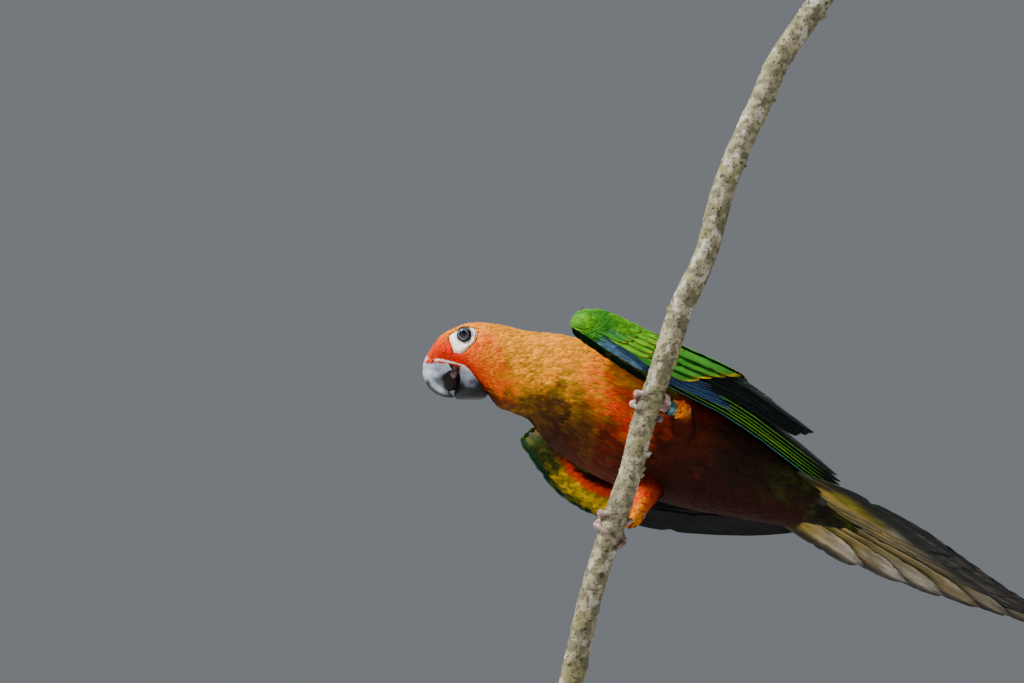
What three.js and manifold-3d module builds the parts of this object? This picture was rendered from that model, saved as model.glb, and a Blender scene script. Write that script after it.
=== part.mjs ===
// A sun conure at life size, clinging behind a steep branch cut to a perch on a plain stand.
// Millimetres, +Z up, origin at the centre of the underside of the stand's base.
// The bird is laid out in a pose frame (x to its bill's far side, y up, z from belly to back
// of the perch) that is then turned and raised as one piece.
import * as THREE from 'three';
import { mergeVertices } from 'three/addons/utils/BufferGeometryUtils.js';
import Module from 'manifold-3d';

const wasm = await Module();
wasm.setup();

// Driving sizes
const GAP = 0.35;
const POSE_TURN = THREE.MathUtils.degToRad(110);
const POSE_SHIFT = new THREE.Vector3(-60, 0, 260);
const BODY_ROWS = 28;
const AROUND = 24;
const EYE_RADIUS = 4.0;
const VANE_THICK = 0.62;
const BRANCH_RADIUS = 5.1;
const BASE_RADIUS = 92;
const BASE_THICK = 12;
const ROD_RADIUS = 4;
const TARSUS_RADIUS = 2.1;
const BAND_THICK = 0.6;
const BAND_LENGTH = 4.4;

const vec = (x, y, z) => new THREE.Vector3(x, y, z);
const mix = THREE.MathUtils.lerp;
const step = THREE.MathUtils.smoothstep;

// Axes of the trunk in the pose frame: to the bill, to the back, to the bird's left
const SHOULDER = vec(16.5, -19.4, 0);
const AHEAD = vec(-0.894, 0.447, 0).normalize();
const DORSAL = vec(0.293, 0.587, -0.755).normalize();
const LEFT = DORSAL.clone().cross(AHEAD).normalize();

// A place on the trunk: distance ahead of the shoulders, towards the back, to the left
function onBody(ahead, dorsal, left) {
  return SHOULDER.clone()
    .addScaledVector(AHEAD, ahead)
    .addScaledVector(DORSAL, dorsal)
    .addScaledVector(LEFT, left);
}

// Closed geometry from positions and triangles, turned inside out where its volume is negative
function closedGeometry(points, faces) {
  let volume = 0;
  for (const [a, b, c] of faces) {
    volume += points[a].dot(points[b].clone().cross(points[c]));
  }
  const index = [];
  for (const [a, b, c] of faces) {
    if (volume < 0) index.push(a, c, b);
    else index.push(a, b, c);
  }
  const geometry = new THREE.BufferGeometry();
  geometry.setAttribute('position', new THREE.Float32BufferAttribute(points.flatMap((p) => [p.x, p.y, p.z]), 3));
  geometry.setIndex(index);
  return geometry;
}

function solidOf(geometry) {
  const bare = geometry.clone();
  bare.deleteAttribute('normal');
  bare.deleteAttribute('uv');
  const merged = mergeVertices(bare, 1e-4);
  return new wasm.Manifold(new wasm.Mesh({
    numProp: 3,
    vertProperties: new Float32Array(merged.attributes.position.array),
    triVerts: new Uint32Array(merged.index.array),
  }));
}

function geometryOf(solid) {
  const mesh = solid.getMesh();
  const geometry = new THREE.BufferGeometry();
  geometry.setAttribute('position', new THREE.BufferAttribute(new Float32Array(mesh.vertProperties), 3));
  geometry.setIndex(new THREE.BufferAttribute(new Uint32Array(mesh.triVerts), 1));
  return geometry;
}

// The largest closed piece of a solid
function largest(solid) {
  const pieces = solid.decompose();
  return pieces.reduce((best, piece) => (piece.volume() > best.volume() ? piece : best), pieces[0]);
}

// A solid cut clear of another by the gap on every side
function cleared(solid, obstacle) {
  let piece = solid;
  for (const [x, y, z] of [[1, 0, 0], [-1, 0, 0], [0, 1, 0], [0, -1, 0], [0, 0, 1], [0, 0, -1]]) {
    const moved = geometryOf(obstacle).translate(x * GAP, y * GAP, z * GAP);
    piece = piece.subtract(solidOf(moved));
  }
  return largest(piece);
}

function joined(geometries) {
  return geometries.map(solidOf).reduce((sum, piece) => sum.add(piece));
}

// Body skinned over a row of rings of equal length, with both ends capped
function loft(rings) {
  const count = rings[0].length;
  const points = rings.flat();
  const faces = [];
  for (let r = 0; r + 1 < rings.length; r += 1) {
    for (let k = 0; k < count; k += 1) {
      const a = r * count + k;
      const b = r * count + ((k + 1) % count);
      faces.push([a, b, b + count], [a, b + count, a + count]);
    }
  }
  for (const [start, flip] of [[0, true], [(rings.length - 1) * count, false]]) {
    const centre = vec(0, 0, 0);
    for (let k = 0; k < count; k += 1) centre.addScaledVector(points[start + k], 1 / count);
    const tip = points.length;
    points.push(centre);
    for (let k = 0; k < count; k += 1) {
      const a = start + k;
      const b = start + ((k + 1) % count);
      faces.push(flip ? [b, a, tip] : [a, b, tip]);
    }
  }
  return closedGeometry(points, faces);
}

// Round tapering limb along a curve; radiusAt gives its radius for the share of the length
function limb(curve, radiusAt, rows, sides) {
  const frames = curve.computeFrenetFrames(rows, false);
  const rings = [];
  for (let r = 0; r <= rows; r += 1) {
    const t = r / rows;
    const centre = curve.getPointAt(t);
    const radius = Math.max(radiusAt(t), 0.12);
    const ring = [];
    for (let k = 0; k < sides; k += 1) {
      const angle = (2 * Math.PI * k) / sides;
      ring.push(centre.clone()
        .addScaledVector(frames.normals[r], radius * Math.cos(angle))
        .addScaledVector(frames.binormals[r], radius * Math.sin(angle)));
    }
    rings.push(ring);
  }
  return loft(rings);
}

// Half space as a large block whose near face passes through a point, on the side of a direction
function halfSpace(point, direction) {
  const size = 600;
  const box = new THREE.BoxGeometry(size, size, size);
  box.translate(0, 0, size / 2);
  const turn = new THREE.Quaternion().setFromUnitVectors(vec(0, 0, 1), direction.clone().normalize());
  box.applyQuaternion(turn);
  box.translate(point.x, point.y, point.z);
  return solidOf(box);
}

// Flesh and coat from face to tail root. Each station has its middle, the direction of its
// upper side, its depth above and below the middle, and its half width.
const STATIONS = [
  { name: 'face', at: [-26.5, -10.5, 0], up: [-1, 0.08, 0], back: 13.5, belly: 14, half: 9 },
  { name: 'forehead', at: [-24.8, -9.0, 0], up: [-0.86, 0.5, 0], back: 15.8, belly: 15.6, half: 12.6 },
  { name: 'eyes', at: [-20.5, -10.6, 0], up: [-0.56, 0.83, 0], back: 18.8, belly: 18.4, half: 14.8 },
  { name: 'ears', at: [-11.5, -10.5, 0], up: [-0.39, 0.92, 0], back: 21.5, belly: 21.2, half: 16.2 },
  { name: 'nape', at: [-2.5, -11.7, 0], up: [-0.2, 0.97, -0.05], back: 21.5, belly: 21.5, half: 17.0 },
  { name: 'neck', at: [6.8, -14.6, 0], up: [-0.05, 0.96, -0.25], back: 21.2, belly: 21.5, half: 19.5 },
  { name: 'crop', at: [16.5, -18.2, 0], up: [0.12, 0.84, -0.52], back: 22.5, belly: 23.5, half: 24 },
  { name: 'shoulders', at: [30, -25, 0], up: [0.25, 0.68, -0.68], back: 24, belly: 27, half: 27.5 },
  { name: 'breast', at: [50, -35.4, 0], up: [0.293, 0.587, -0.755], back: 25, belly: 29.5, half: 29.5 },
  { name: 'belly', at: [72, -46.6, 0], up: [0.293, 0.587, -0.755], back: 24.5, belly: 28, half: 29 },
  { name: 'flank', at: [95, -58, 0], up: [0.293, 0.587, -0.755], back: 20.5, belly: 23, half: 24 },
  { name: 'vent', at: [113, -67, 0], up: [0.293, 0.587, -0.755], back: 15.5, belly: 17, half: 18 },
  { name: 'tail root', at: [130, -75.5, 0], up: [0.293, 0.587, -0.755], back: 10, belly: 10.5, half: 13.5 },
  { name: 'tail core', at: [144, -82.5, 0], up: [0.293, 0.587, -0.755], back: 4.5, belly: 3.5, half: 10.5 },
];
const triple = (s) => vec(s.back, s.belly, s.half);
const spine = new THREE.CatmullRomCurve3(STATIONS.map((s) => vec(...s.at)));
const ups = new THREE.CatmullRomCurve3(STATIONS.map((s) => vec(...s.up).normalize()));
const depths = new THREE.CatmullRomCurve3(STATIONS.map(triple));

// Share of the way along the stations for a station's name
function shareOf(name) {
  return STATIONS.findIndex((s) => s.name === name) / (STATIONS.length - 1);
}

// Point of the coat's surface: share of the way along, angle round from the back, extra height
function onCoat(t, angle, grow) {
  const up = ups.getPoint(t).normalize();
  const along = spine.getTangent(t);
  const side = along.cross(up).normalize();
  const depth = depths.getPoint(t);
  const tall = (Math.cos(angle) > 0 ? depth.x : depth.y) + grow;
  return spine.getPoint(t)
    .addScaledVector(up, tall * Math.cos(angle))
    .addScaledVector(side, (depth.z + grow) * Math.sin(angle));
}

function coat(grow) {
  const rings = [];
  for (let r = 0; r <= BODY_ROWS; r += 1) {
    const ring = [];
    for (let k = 0; k < AROUND; k += 1) ring.push(onCoat(r / BODY_ROWS, (2 * Math.PI * k) / AROUND, grow));
    rings.push(ring);
  }
  return solidOf(loft(rings));
}

const wholeBody = coat(0);

// The coat between two planes square to the spine, each half a gap inside its share
function between(from, to) {
  let piece = wholeBody;
  const half = GAP / 2;
  if (from !== null) {
    const along = spine.getTangent(from);
    piece = piece.intersect(halfSpace(spine.getPoint(from).addScaledVector(along, half), along));
  }
  if (to !== null) {
    const along = spine.getTangent(to).negate();
    piece = piece.intersect(halfSpace(spine.getPoint(to).addScaledVector(along, half), along));
  }
  return largest(piece);
}

const HEAD_END = (shareOf('nape') + shareOf('neck')) / 2;
const NECK_END = (shareOf('crop') + shareOf('shoulders')) / 2;
const TORSO_END = (shareOf('vent') + shareOf('tail root')) / 2;

// One feather: a thin arched vane between two matching faces. chart maps a distance along,
// a distance across and a level to the pose frame; the same split serves both faces.
function vane(chart, { root, tip, level, tipLevel = level, width, tilt = 0, rows = 6, blunt = 0.45 }) {
  const across = [-1, 0, 1];
  const points = [];
  const columns = across.length;
  for (const under of [0, 1]) {
    for (let r = 0; r <= rows; r += 1) {
      const t = r / rows;
      const spread = mix(0.5, 1, step(t, 0, 0.35)) * Math.sqrt(Math.max(0, 1 - Math.pow(t, 7) * (1 - blunt * blunt)));
      const middle = [mix(root[0], tip[0], t), mix(root[1], tip[1], t), mix(level, tipLevel, t)];
      for (const share of across) {
        const out = share * width * 0.5 * spread;
        const arch = 0.35 * (1 - share * share);
        const back = share * share * width * 0.3 * step(t, 0.7, 1);
        points.push(chart(
          middle[0] - back,
          middle[1] + out * Math.cos(tilt),
          middle[2] - out * Math.sin(tilt) + arch - under * mix(VANE_THICK, 0.45, t),
        ));
      }
    }
  }
  const faces = [];
  const layer = (rows + 1) * columns;
  for (let r = 0; r < rows; r += 1) {
    for (let k = 0; k + 1 < columns; k += 1) {
      const a = r * columns + k;
      const b = a + columns;
      faces.push([a, b, b + 1], [a, b + 1, a + 1]);
      faces.push([layer + a, layer + b + 1, layer + b], [layer + a, layer + a + 1, layer + b + 1]);
    }
  }
  const rim = [];
  for (let k = 0; k + 1 < columns; k += 1) rim.push([k + 1, k]);
  for (let r = 0; r < rows; r += 1) rim.push([r * columns, (r + 1) * columns]);
  for (let k = 0; k + 1 < columns; k += 1) rim.push([rows * columns + k, rows * columns + k + 1]);
  for (let r = rows; r > 0; r -= 1) rim.push([(r + 1) * columns - 1, r * columns - 1]);
  for (const [a, b] of rim) faces.push([b, a, layer + a], [b, layer + a, layer + b]);
  return closedGeometry(points, faces);
}

// Wings. Each has a leading edge on the trunk's axes, a direction across to its rear part,
// and a fold where the rear part turns over towards the back.
const WING_LENGTH = 152;
const FOLD_RADIUS = 8;
const WINGS = {
  left: {
    side: 1,
    edge: [[2, -3, 41], [-39, -5, 37.5], [-80, 1, 33], [-148, 7, 15]],
    across: [0, 0.97, 0.06],
    fold: THREE.MathUtils.degToRad(100),
  },
  right: {
    side: -1,
    edge: [[0, -1, 41], [-33, -9, 52], [-70, -9, 49], [-115, 1, 33], [-148, 12, 16]],
    across: [0, 0.86, -0.5],
    fold: THREE.MathUtils.degToRad(62),
  },
};

function wingChart({ side, edge, across, fold }) {
  const line = new THREE.CatmullRomCurve3(edge.map(([a, d, l]) => onBody(a, d, l * side)));
  const over = onBody(across[0], across[1], across[2] * side).sub(SHOULDER).normalize();
  return (along, acrossBy, level) => {
    const t = along / WING_LENGTH;
    const held = THREE.MathUtils.clamp(t, 0, 1);
    const tangent = line.getTangentAt(held);
    const outward = tangent.clone().cross(over).multiplyScalar(side).normalize();
    const flat = outward.clone().cross(tangent).normalize();
    if (flat.dot(over) < 0) flat.negate();
    const flatWidth = mix(9, 15, step(along, 0, 45));
    const turn = THREE.MathUtils.clamp((acrossBy - flatWidth) / FOLD_RADIUS, 0, fold);
    const rest = Math.max(0, acrossBy - flatWidth - FOLD_RADIUS * fold);
    const rise = Math.min(acrossBy, flatWidth) + FOLD_RADIUS * Math.sin(turn) + rest * Math.cos(fold);
    const inward = FOLD_RADIUS * (1 - Math.cos(turn)) + rest * Math.sin(fold);
    return line.getPointAt(held)
      .addScaledVector(tangent, (t - held) * WING_LENGTH)
      .addScaledVector(flat, rise + level * Math.sin(turn))
      .addScaledVector(outward, level * Math.cos(turn) - inward);
  };
}

// Fleshy arm with its small coverts, flat and widest behind the wrist
function wingArm(chart) {
  const rings = [];
  const ROWS = 8;
  const SIDES = 14;
  for (let r = 0; r <= ROWS; r += 1) {
    const t = r / ROWS;
    const swell = Math.sqrt(Math.max(0.03, 1 - Math.pow(2 * t - 1, 4)));
    const middle = mix(3, 17, step(t, 0, 0.8));
    const halfAcross = mix(6, 15, step(t, 0, 0.6)) * swell;
    const ring = [];
    for (let k = 0; k < SIDES; k += 1) {
      const angle = (2 * Math.PI * k) / SIDES;
      ring.push(chart(mix(-3, 54, t), middle + halfAcross * Math.cos(angle), 0.6 + 3.6 * swell * Math.sin(angle)));
    }
    rings.push(ring);
  }
  return loft(rings);
}

// Tiers of a folded wing, from the body side outwards. Each tier runs from its feather nearest
// the leading edge to the one nearest the back.
const TIERS = [
  {
    name: 'primaries', count: 6, rows: 5, width: [11, 13], tilt: 0.4,
    root: [[30, 2.5], [14, 9]], tip: [[150, 0.5], [104, 11.5]], level: [-1.6, 0.4], tipLevel: [-2.4, -0.6],
  },
  {
    name: 'secondaries', count: 6, rows: 4, width: [12.5, 13], tilt: 0.36,
    root: [[14, 5], [44, 20]], tip: [[96, 8], [122, 17]], level: [3.4, 3.6], tipLevel: [2.6, 2.8],
  },
  {
    name: 'tertials', count: 4, rows: 4, width: [15, 15], tilt: 0.2,
    root: [[40, 24], [20, 38]], tip: [[100, 23], [72, 38]], level: [3.4, 3.8], tipLevel: [3.0, 3.4],
  },
  {
    name: 'greater coverts', count: 5, rows: 3, width: [12, 14], tilt: 0.3,
    root: [[6, 2.5], [32, 30]], tip: [[42, 4], [64, 31]], level: [4.0, 4.2], tipLevel: [5.8, 5.6],
  },
];

function tierVanes(chart, tier) {
  const vanes = [];
  for (let i = 0; i < tier.count; i += 1) {
    const t = i / (tier.count - 1);
    vanes.push(vane(chart, {
      root: [mix(tier.root[0][0], tier.root[1][0], t), mix(tier.root[0][1], tier.root[1][1], t)],
      tip: [mix(tier.tip[0][0], tier.tip[1][0], t), mix(tier.tip[0][1], tier.tip[1][1], t)],
      level: mix(tier.level[0], tier.level[1], t),
      tipLevel: mix(tier.tipLevel[0], tier.tipLevel[1], t),
      width: mix(tier.width[0], tier.width[1], t),
      tilt: tier.tilt,
      rows: tier.rows,
    }));
  }
  return vanes;
}

// Scapular coat that bridges the back and the inside of the wing
function scapular(wing, chart) {
  const SIDES = 14;
  const rings = [0.4, 0.7, 1].map((t) => {
    const ring = [];
    for (let k = 0; k < SIDES; k += 1) {
      const angle = (2 * Math.PI * k) / SIDES;
      const outer = chart(25 + 19 * Math.cos(angle), 20 + 11 * Math.sin(angle), 0.5);
      const inner = onBody(-26 - 21 * Math.cos(angle), 12 + 8 * Math.sin(angle), 6 * wing.side);
      ring.push(inner.lerp(outer, t));
    }
    return ring;
  });
  return loft(rings);
}

function wingSolid(wing) {
  const chart = wingChart(wing);
  const pieces = [wingArm(chart), scapular(wing, chart), ...TIERS.flatMap((tier) => tierVanes(chart, tier))];
  return cleared(joined(pieces), wholeBody);
}

// Tail: graded pairs of vanes, the outermost lowest, rooted in a short core
const TAIL_START = spine.getPoint(TORSO_END);
const TAIL_LENGTH = 146;
const TAIL_PAIRS = 6;

function tailChart(along, across, level) {
  const droop = 0.00018 * Math.max(0, along - 30) ** 2;
  return TAIL_START.clone()
    .addScaledVector(AHEAD, -along)
    .addScaledVector(LEFT, across + 3.5)
    .addScaledVector(DORSAL, level)
    .add(vec(-0.447, -0.894, 0).multiplyScalar(droop));
}

function tailSolid() {
  const pieces = [];
  for (let pair = 0; pair < TAIL_PAIRS; pair += 1) {
    const t = pair / (TAIL_PAIRS - 1);
    for (const side of [-1, 1]) {
      const lift = 1.0 * pair + (pair > 2 ? (pair - 3) * 1.0 + (side > 0 ? 0 : 1.0) : 0);
      pieces.push(vane(tailChart, {
        root: [-3, side * mix(6.5, 2, t)],
        tip: [mix(58, TAIL_LENGTH, Math.pow(t, 0.85)), side * mix(15.5, 2.8, t)],
        level: -3.4 + lift * 0.8,
        tipLevel: -3.4 + lift,
        width: mix(13.5, 13, t),
        tilt: 0,
        rows: 5,
        blunt: 0.25,
      }));
    }
  }
  const core = between(TORSO_END, null);
  return largest(joined(pieces).add(core).subtract(halfSpace(
    spine.getPoint(TORSO_END).addScaledVector(spine.getTangent(TORSO_END), GAP / 2),
    spine.getTangent(TORSO_END).negate(),
  )));
}

// Branch that the bird grips, leaning to the right and a little forward as it rises
const BRANCH_LEAN = -0.06;
const branchAt = (x, y) => vec(x, y, 48 + BRANCH_LEAN * (y + 40));
const BRANCH_POINTS = [
  [15, -190], [25, -149], [36.7, -101], [44.5, -78], [52.5, -54], [56.5, -38], [65.5, -12],
  [74, 14], [85, 38], [95, 72], [110, 106], [119, 126], [131, 143], [140, 156],
];
const branch = new THREE.CatmullRomCurve3(BRANCH_POINTS.map(([x, y]) => branchAt(x, y)));
const branchRadius = (t) => BRANCH_RADIUS * mix(1.0, 0.98, t);
const BRANCH_ROWS = 28;
const worldUp = vec(0, 0, 1).applyAxisAngle(vec(1, 0, 0), -POSE_TURN);
const branchFoot = branchAt(18, -178);

const wholeBranch = solidOf(limb(branch, branchRadius, BRANCH_ROWS, 12));
const branchClear = solidOf(limb(branch, (t) => branchRadius(t) + GAP, BRANCH_ROWS, 12));

// Share of the branch's length at a height in the pose frame
function branchShare(height) {
  let low = 0;
  let high = 1;
  for (let k = 0; k < 30; k += 1) {
    const middle = (low + high) / 2;
    if (branch.getPointAt(middle).y < height) low = middle;
    else high = middle;
  }
  return low;
}

const branchLength = branch.getLength();

// Place beside the branch: share of its length, turn about it from the front, clearance
function besideBranch(share, turn, clearance) {
  const centre = branch.getPointAt(share);
  const along = branch.getTangentAt(share);
  const front = vec(0, 0, 1).addScaledVector(along, -along.z).normalize();
  const right = along.clone().cross(front).normalize();
  const radius = branchRadius(share) + clearance;
  return centre.addScaledVector(front, radius * Math.cos(turn)).addScaledVector(right, radius * Math.sin(turn));
}

// A toe wraps the branch from behind it to its front; the claw follows on from its end
function toeCurve({ height, rise, from, to }, first, last, lift) {
  const share = branchShare(height);
  const points = [];
  for (let k = 0; k <= 8; k += 1) {
    const t = mix(first, last, k / 8);
    points.push(besideBranch(share + (rise * t) / branchLength, mix(from, to, t), lift(t)));
  }
  return new THREE.CatmullRomCurve3(points);
}

const TOE_RADIUS = 1.75;
const TOE_SHARE = 0.78;
const knuckle = (t) => 0.16 * Math.cos(t * 6 * Math.PI);
const rad = THREE.MathUtils.degToRad;
const FEET = {
  left: {
    hip: onBody(-66, -13, 15),
    ankle: vec(79, -31.5, 33),
    sole: -27,
    toes: {
      outer: { height: -27, rise: 4, from: rad(190), to: rad(352) },
      inner: { height: -28, rise: -3, from: rad(190), to: rad(330) },
      hind: { height: -26, rise: 5, from: rad(170), to: rad(38) },
      back: { height: -29, rise: -4.5, from: rad(170), to: rad(58) },
    },
  },
  right: {
    hip: onBody(-60, -13, -15),
    ankle: vec(58, -77, 33),
    sole: -80,
    toes: {
      outer: { height: -79, rise: 4.5, from: rad(190), to: rad(350) },
      inner: { height: -80.5, rise: -3, from: rad(190), to: rad(365) },
      hind: { height: -80, rise: -9, from: rad(170), to: rad(35) },
      back: { height: -78, rise: 3, from: rad(170), to: rad(70) },
    },
  },
};

function soleOf(foot) {
  return besideBranch(branchShare(foot.sole), rad(180), 2.2);
}

function footSolid(foot) {
  const sole = soleOf(foot);
  const pieces = [];
  const tarsus = new THREE.LineCurve3(foot.ankle, sole);
  pieces.push(limb(tarsus, (t) => mix(TARSUS_RADIUS * 1.25, TARSUS_RADIUS, step(t, 0, 0.25)), 3, 8));
  const pad = new THREE.SphereGeometry(2.7, 8, 5);
  pad.translate(sole.x, sole.y, sole.z);
  pieces.push(pad);
  for (const toe of Object.values(foot.toes)) {
    const curve = toeCurve(toe, 0, TOE_SHARE, () => TOE_RADIUS - 0.2);
    pieces.push(limb(curve, (t) => mix(TOE_RADIUS, TOE_RADIUS * 0.82, t) + knuckle(t), 7, 6));
  }
  return largest(joined(pieces).subtract(thighClear(foot)).subtract(branchClear));
}

function clawGeometry(toe) {
  const curve = toeCurve(toe, TOE_SHARE - 0.03, 1.1, (t) => mix(TOE_RADIUS, 0.8, step(t, TOE_SHARE, 1.1)));
  return limb(curve, (t) => mix(1.15, 0.15, t), 6, 6);
}

// Thigh: a feathered drumstick from the flank to the ankle
function thighLimb(foot, grow) {
  const knee = foot.hip.clone().lerp(foot.ankle, 0.45);
  const curve = new THREE.QuadraticBezierCurve3(foot.hip, knee, foot.ankle.clone().lerp(soleOf(foot), 0.08));
  return solidOf(limb(curve, (t) => mix(11.5, 3.6, step(t, 0.1, 1)) + grow, 8, 12));
}
const thighClear = (foot) => thighLimb(foot, GAP);

// Bill. Both halves are rings round the corner of the gape, seen from the bird's left.
const GAPE = vec(-28, -13.5, 0);
const BILL_HALF = 8.2;

function billUpper() {
  const rings = [];
  const ROWS = 12;
  for (let r = 0; r <= ROWS; r += 1) {
    const t = r / ROWS;
    const turn = mix(rad(122), rad(272), t);
    const outer = mix(13.6, 12.9, t) + 0.9 * Math.sin(t * Math.PI);
    const notch = 1.6 * Math.exp(-(((t - 0.63) / 0.09) ** 2));
    const inner = mix(-1.5, 11.8, Math.pow(t, 2.3)) + notch;
    const half = mix(BILL_HALF, 1.2, Math.pow(t, 1.5));
    const ring = [];
    for (let k = 0; k < 12; k += 1) {
      const angle = (2 * Math.PI * k) / 12;
      const reach = mix(inner, outer, 0.5 + 0.5 * Math.cos(angle));
      const sideways = half * Math.sin(angle) * (1 - 0.25 * Math.cos(angle));
      ring.push(GAPE.clone().add(vec(reach * Math.cos(turn), reach * Math.sin(turn), sideways)));
    }
    rings.push(ring);
  }
  return loft(rings);
}

// The lower half is a deep round scoop, its cutting edge towards the gape
function billLower() {
  const rings = [];
  const ROWS = 8;
  for (let r = 0; r <= ROWS; r += 1) {
    const t = r / ROWS;
    const height = mix(-8, -27.4, t);
    const round = Math.sqrt(Math.max(0.02, 1 - Math.pow(t, 6)));
    const front = -25.4 + 1.4 * Math.sin(t * Math.PI) - 1.2 * t + (1 - round) * 5;
    const rear = -9.5 - (1 - round) * 6;
    const ring = [];
    for (let k = 0; k < 14; k += 1) {
      const angle = (2 * Math.PI * k) / 14;
      const x = mix(front, rear, 0.5 + 0.5 * Math.cos(angle));
      ring.push(vec(x, height, 7.6 * round * Math.sin(angle)));
    }
    rings.push(ring);
  }
  return loft(rings);
}

const bill = { upper: cleared(solidOf(billUpper()), wholeBody) };
bill.lower = cleared(cleared(solidOf(billLower()), wholeBody), bill.upper);

// Tongue: a short round tip lying against the lower half
function tongueSolid() {
  const curve = new THREE.QuadraticBezierCurve3(vec(-27.2, -8, 0), vec(-28.0, -14, 0), vec(-28.0, -19.5, 0));
  return cleared(cleared(solidOf(limb(curve, () => 1.1, 4, 8)), wholeBody), bill.lower);
}

// Eyes set in sockets on both sides of the head
const EYE_PLACE = vec(-22.6, 2.4, 9.9);
function eyeAt(side, grow) {
  const ball = new THREE.SphereGeometry(EYE_RADIUS + grow, 12, 8);
  ball.translate(EYE_PLACE.x, EYE_PLACE.y, EYE_PLACE.z * side);
  return ball;
}

// Bare ring of lid skin round an eye
function lidRing(side) {
  const ring = new THREE.TorusGeometry(EYE_RADIUS + 0.5, 0.9, 5, 12);
  const outward = vec(-0.26, 0.3, side).normalize();
  ring.applyQuaternion(new THREE.Quaternion().setFromUnitVectors(vec(0, 0, 1), outward));
  const place = vec(EYE_PLACE.x, EYE_PLACE.y, EYE_PLACE.z * side).addScaledVector(outward, 1.5);
  return ring.translate(place.x, place.y, place.z);
}

function nostril(side) {
  const pit = new THREE.SphereGeometry(0.9, 8, 6);
  return pit.translate(-38.2, -6.6, 3.4 * side);
}

function headSolid() {
  let head = between(null, HEAD_END);
  for (const side of [1, -1]) {
    head = head.add(solidOf(lidRing(side)));
    head = head.subtract(solidOf(eyeAt(side, GAP))).subtract(solidOf(nostril(side)));
  }
  return largest(head);
}

function torsoSolid() {
  let torso = between(NECK_END, TORSO_END);
  for (const foot of Object.values(FEET)) torso = torso.subtract(thighClear(foot));
  return largest(torso);
}

// Leg band on the left tarsus
function bandGeometry() {
  const foot = FEET.left;
  const sole = soleOf(foot);
  const inner = TARSUS_RADIUS + 0.75;
  const outer = inner + BAND_THICK;
  const half = BAND_LENGTH / 2;
  const profile = [[inner, -half], [outer, -half], [outer, half], [inner, half], [inner, -half]];
  const ring = new THREE.LatheGeometry(profile.map(([x, y]) => new THREE.Vector2(x, y)), 20);
  const along = sole.clone().sub(foot.ankle).normalize();
  ring.applyQuaternion(new THREE.Quaternion().setFromUnitVectors(vec(0, 1, 0), along));
  const place = foot.ankle.clone().lerp(sole, 0.45);
  ring.translate(place.x, place.y, place.z);
  return ring;
}

// Perch with its lower end cut level for the stand's rod
function perchSolid() {
  return largest(wholeBranch.intersect(halfSpace(branchFoot, worldUp)));
}

const FEATHER_GREEN = { color: 0x3f8f2e, roughness: 0.6, metalness: 0 };
const LOOKS = {
  head: { color: 0xe8622a, roughness: 0.8, metalness: 0 },
  neck: { color: 0xe7a12c, roughness: 0.8, metalness: 0 },
  torso: { color: 0xd9772a, roughness: 0.8, metalness: 0 },
  wing: FEATHER_GREEN,
  tail: { color: 0x77784f, roughness: 0.6, metalness: 0 },
  thigh: { color: 0xd88a2e, roughness: 0.8, metalness: 0 },
  foot: { color: 0x8f7f78, roughness: 0.7, metalness: 0 },
  claw: { color: 0x5b504a, roughness: 0.4, metalness: 0 },
  bill: { color: 0x5d6774, roughness: 0.45, metalness: 0 },
  tongue: { color: 0x6a4a48, roughness: 0.6, metalness: 0 },
  eye: { color: 0x1c1c20, roughness: 0.08, metalness: 0 },
  band: { color: 0x8ea4ad, roughness: 0.35, metalness: 0.9 },
  bark: { color: 0x8c8577, roughness: 0.9, metalness: 0 },
  stand: { color: 0x3a3a3a, roughness: 0.6, metalness: 0 },
  rod: { color: 0xb8bcc0, roughness: 0.3, metalness: 1 },
};

function node(name, geometry, look) {
  const mesh = new THREE.Mesh(geometry, new THREE.MeshStandardMaterial(look));
  mesh.name = name;
  return mesh;
}

const bird = new THREE.Group();
bird.rotation.x = POSE_TURN;
bird.position.copy(POSE_SHIFT);
bird.add(node('head', geometryOf(headSolid()), LOOKS.head));
bird.add(node('neck', geometryOf(between(HEAD_END, NECK_END)), LOOKS.neck));
bird.add(node('torso', geometryOf(torsoSolid()), LOOKS.torso));
bird.add(node('tail', geometryOf(tailSolid()), LOOKS.tail));
bird.add(node('bill_upper', geometryOf(bill.upper), LOOKS.bill));
bird.add(node('bill_lower', geometryOf(bill.lower), LOOKS.bill));
bird.add(node('tongue', geometryOf(tongueSolid()), LOOKS.tongue));
bird.add(node('leg_band', bandGeometry(), LOOKS.band));
bird.add(node('perch', geometryOf(perchSolid()), LOOKS.bark));
for (const side of ['left', 'right']) {
  const foot = FEET[side];
  bird.add(node(`eye_${side}`, eyeAt(side === 'left' ? 1 : -1, 0), LOOKS.eye));
  bird.add(node(`wing_${side}`, geometryOf(wingSolid(WINGS[side])), LOOKS.wing));
  bird.add(node(`thigh_${side}`, geometryOf(largest(thighLimb(foot, 0).subtract(branchClear))), LOOKS.thigh));
  const footPiece = footSolid(foot);
  bird.add(node(`foot_${side}`, geometryOf(footPiece), LOOKS.foot));
  for (const [toeName, toe] of Object.entries(foot.toes)) {
    const claw = cleared(solidOf(clawGeometry(toe)).subtract(branchClear), footPiece);
    bird.add(node(`claw_${side}_${toeName}`, geometryOf(claw), LOOKS.claw));
  }
}

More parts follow.
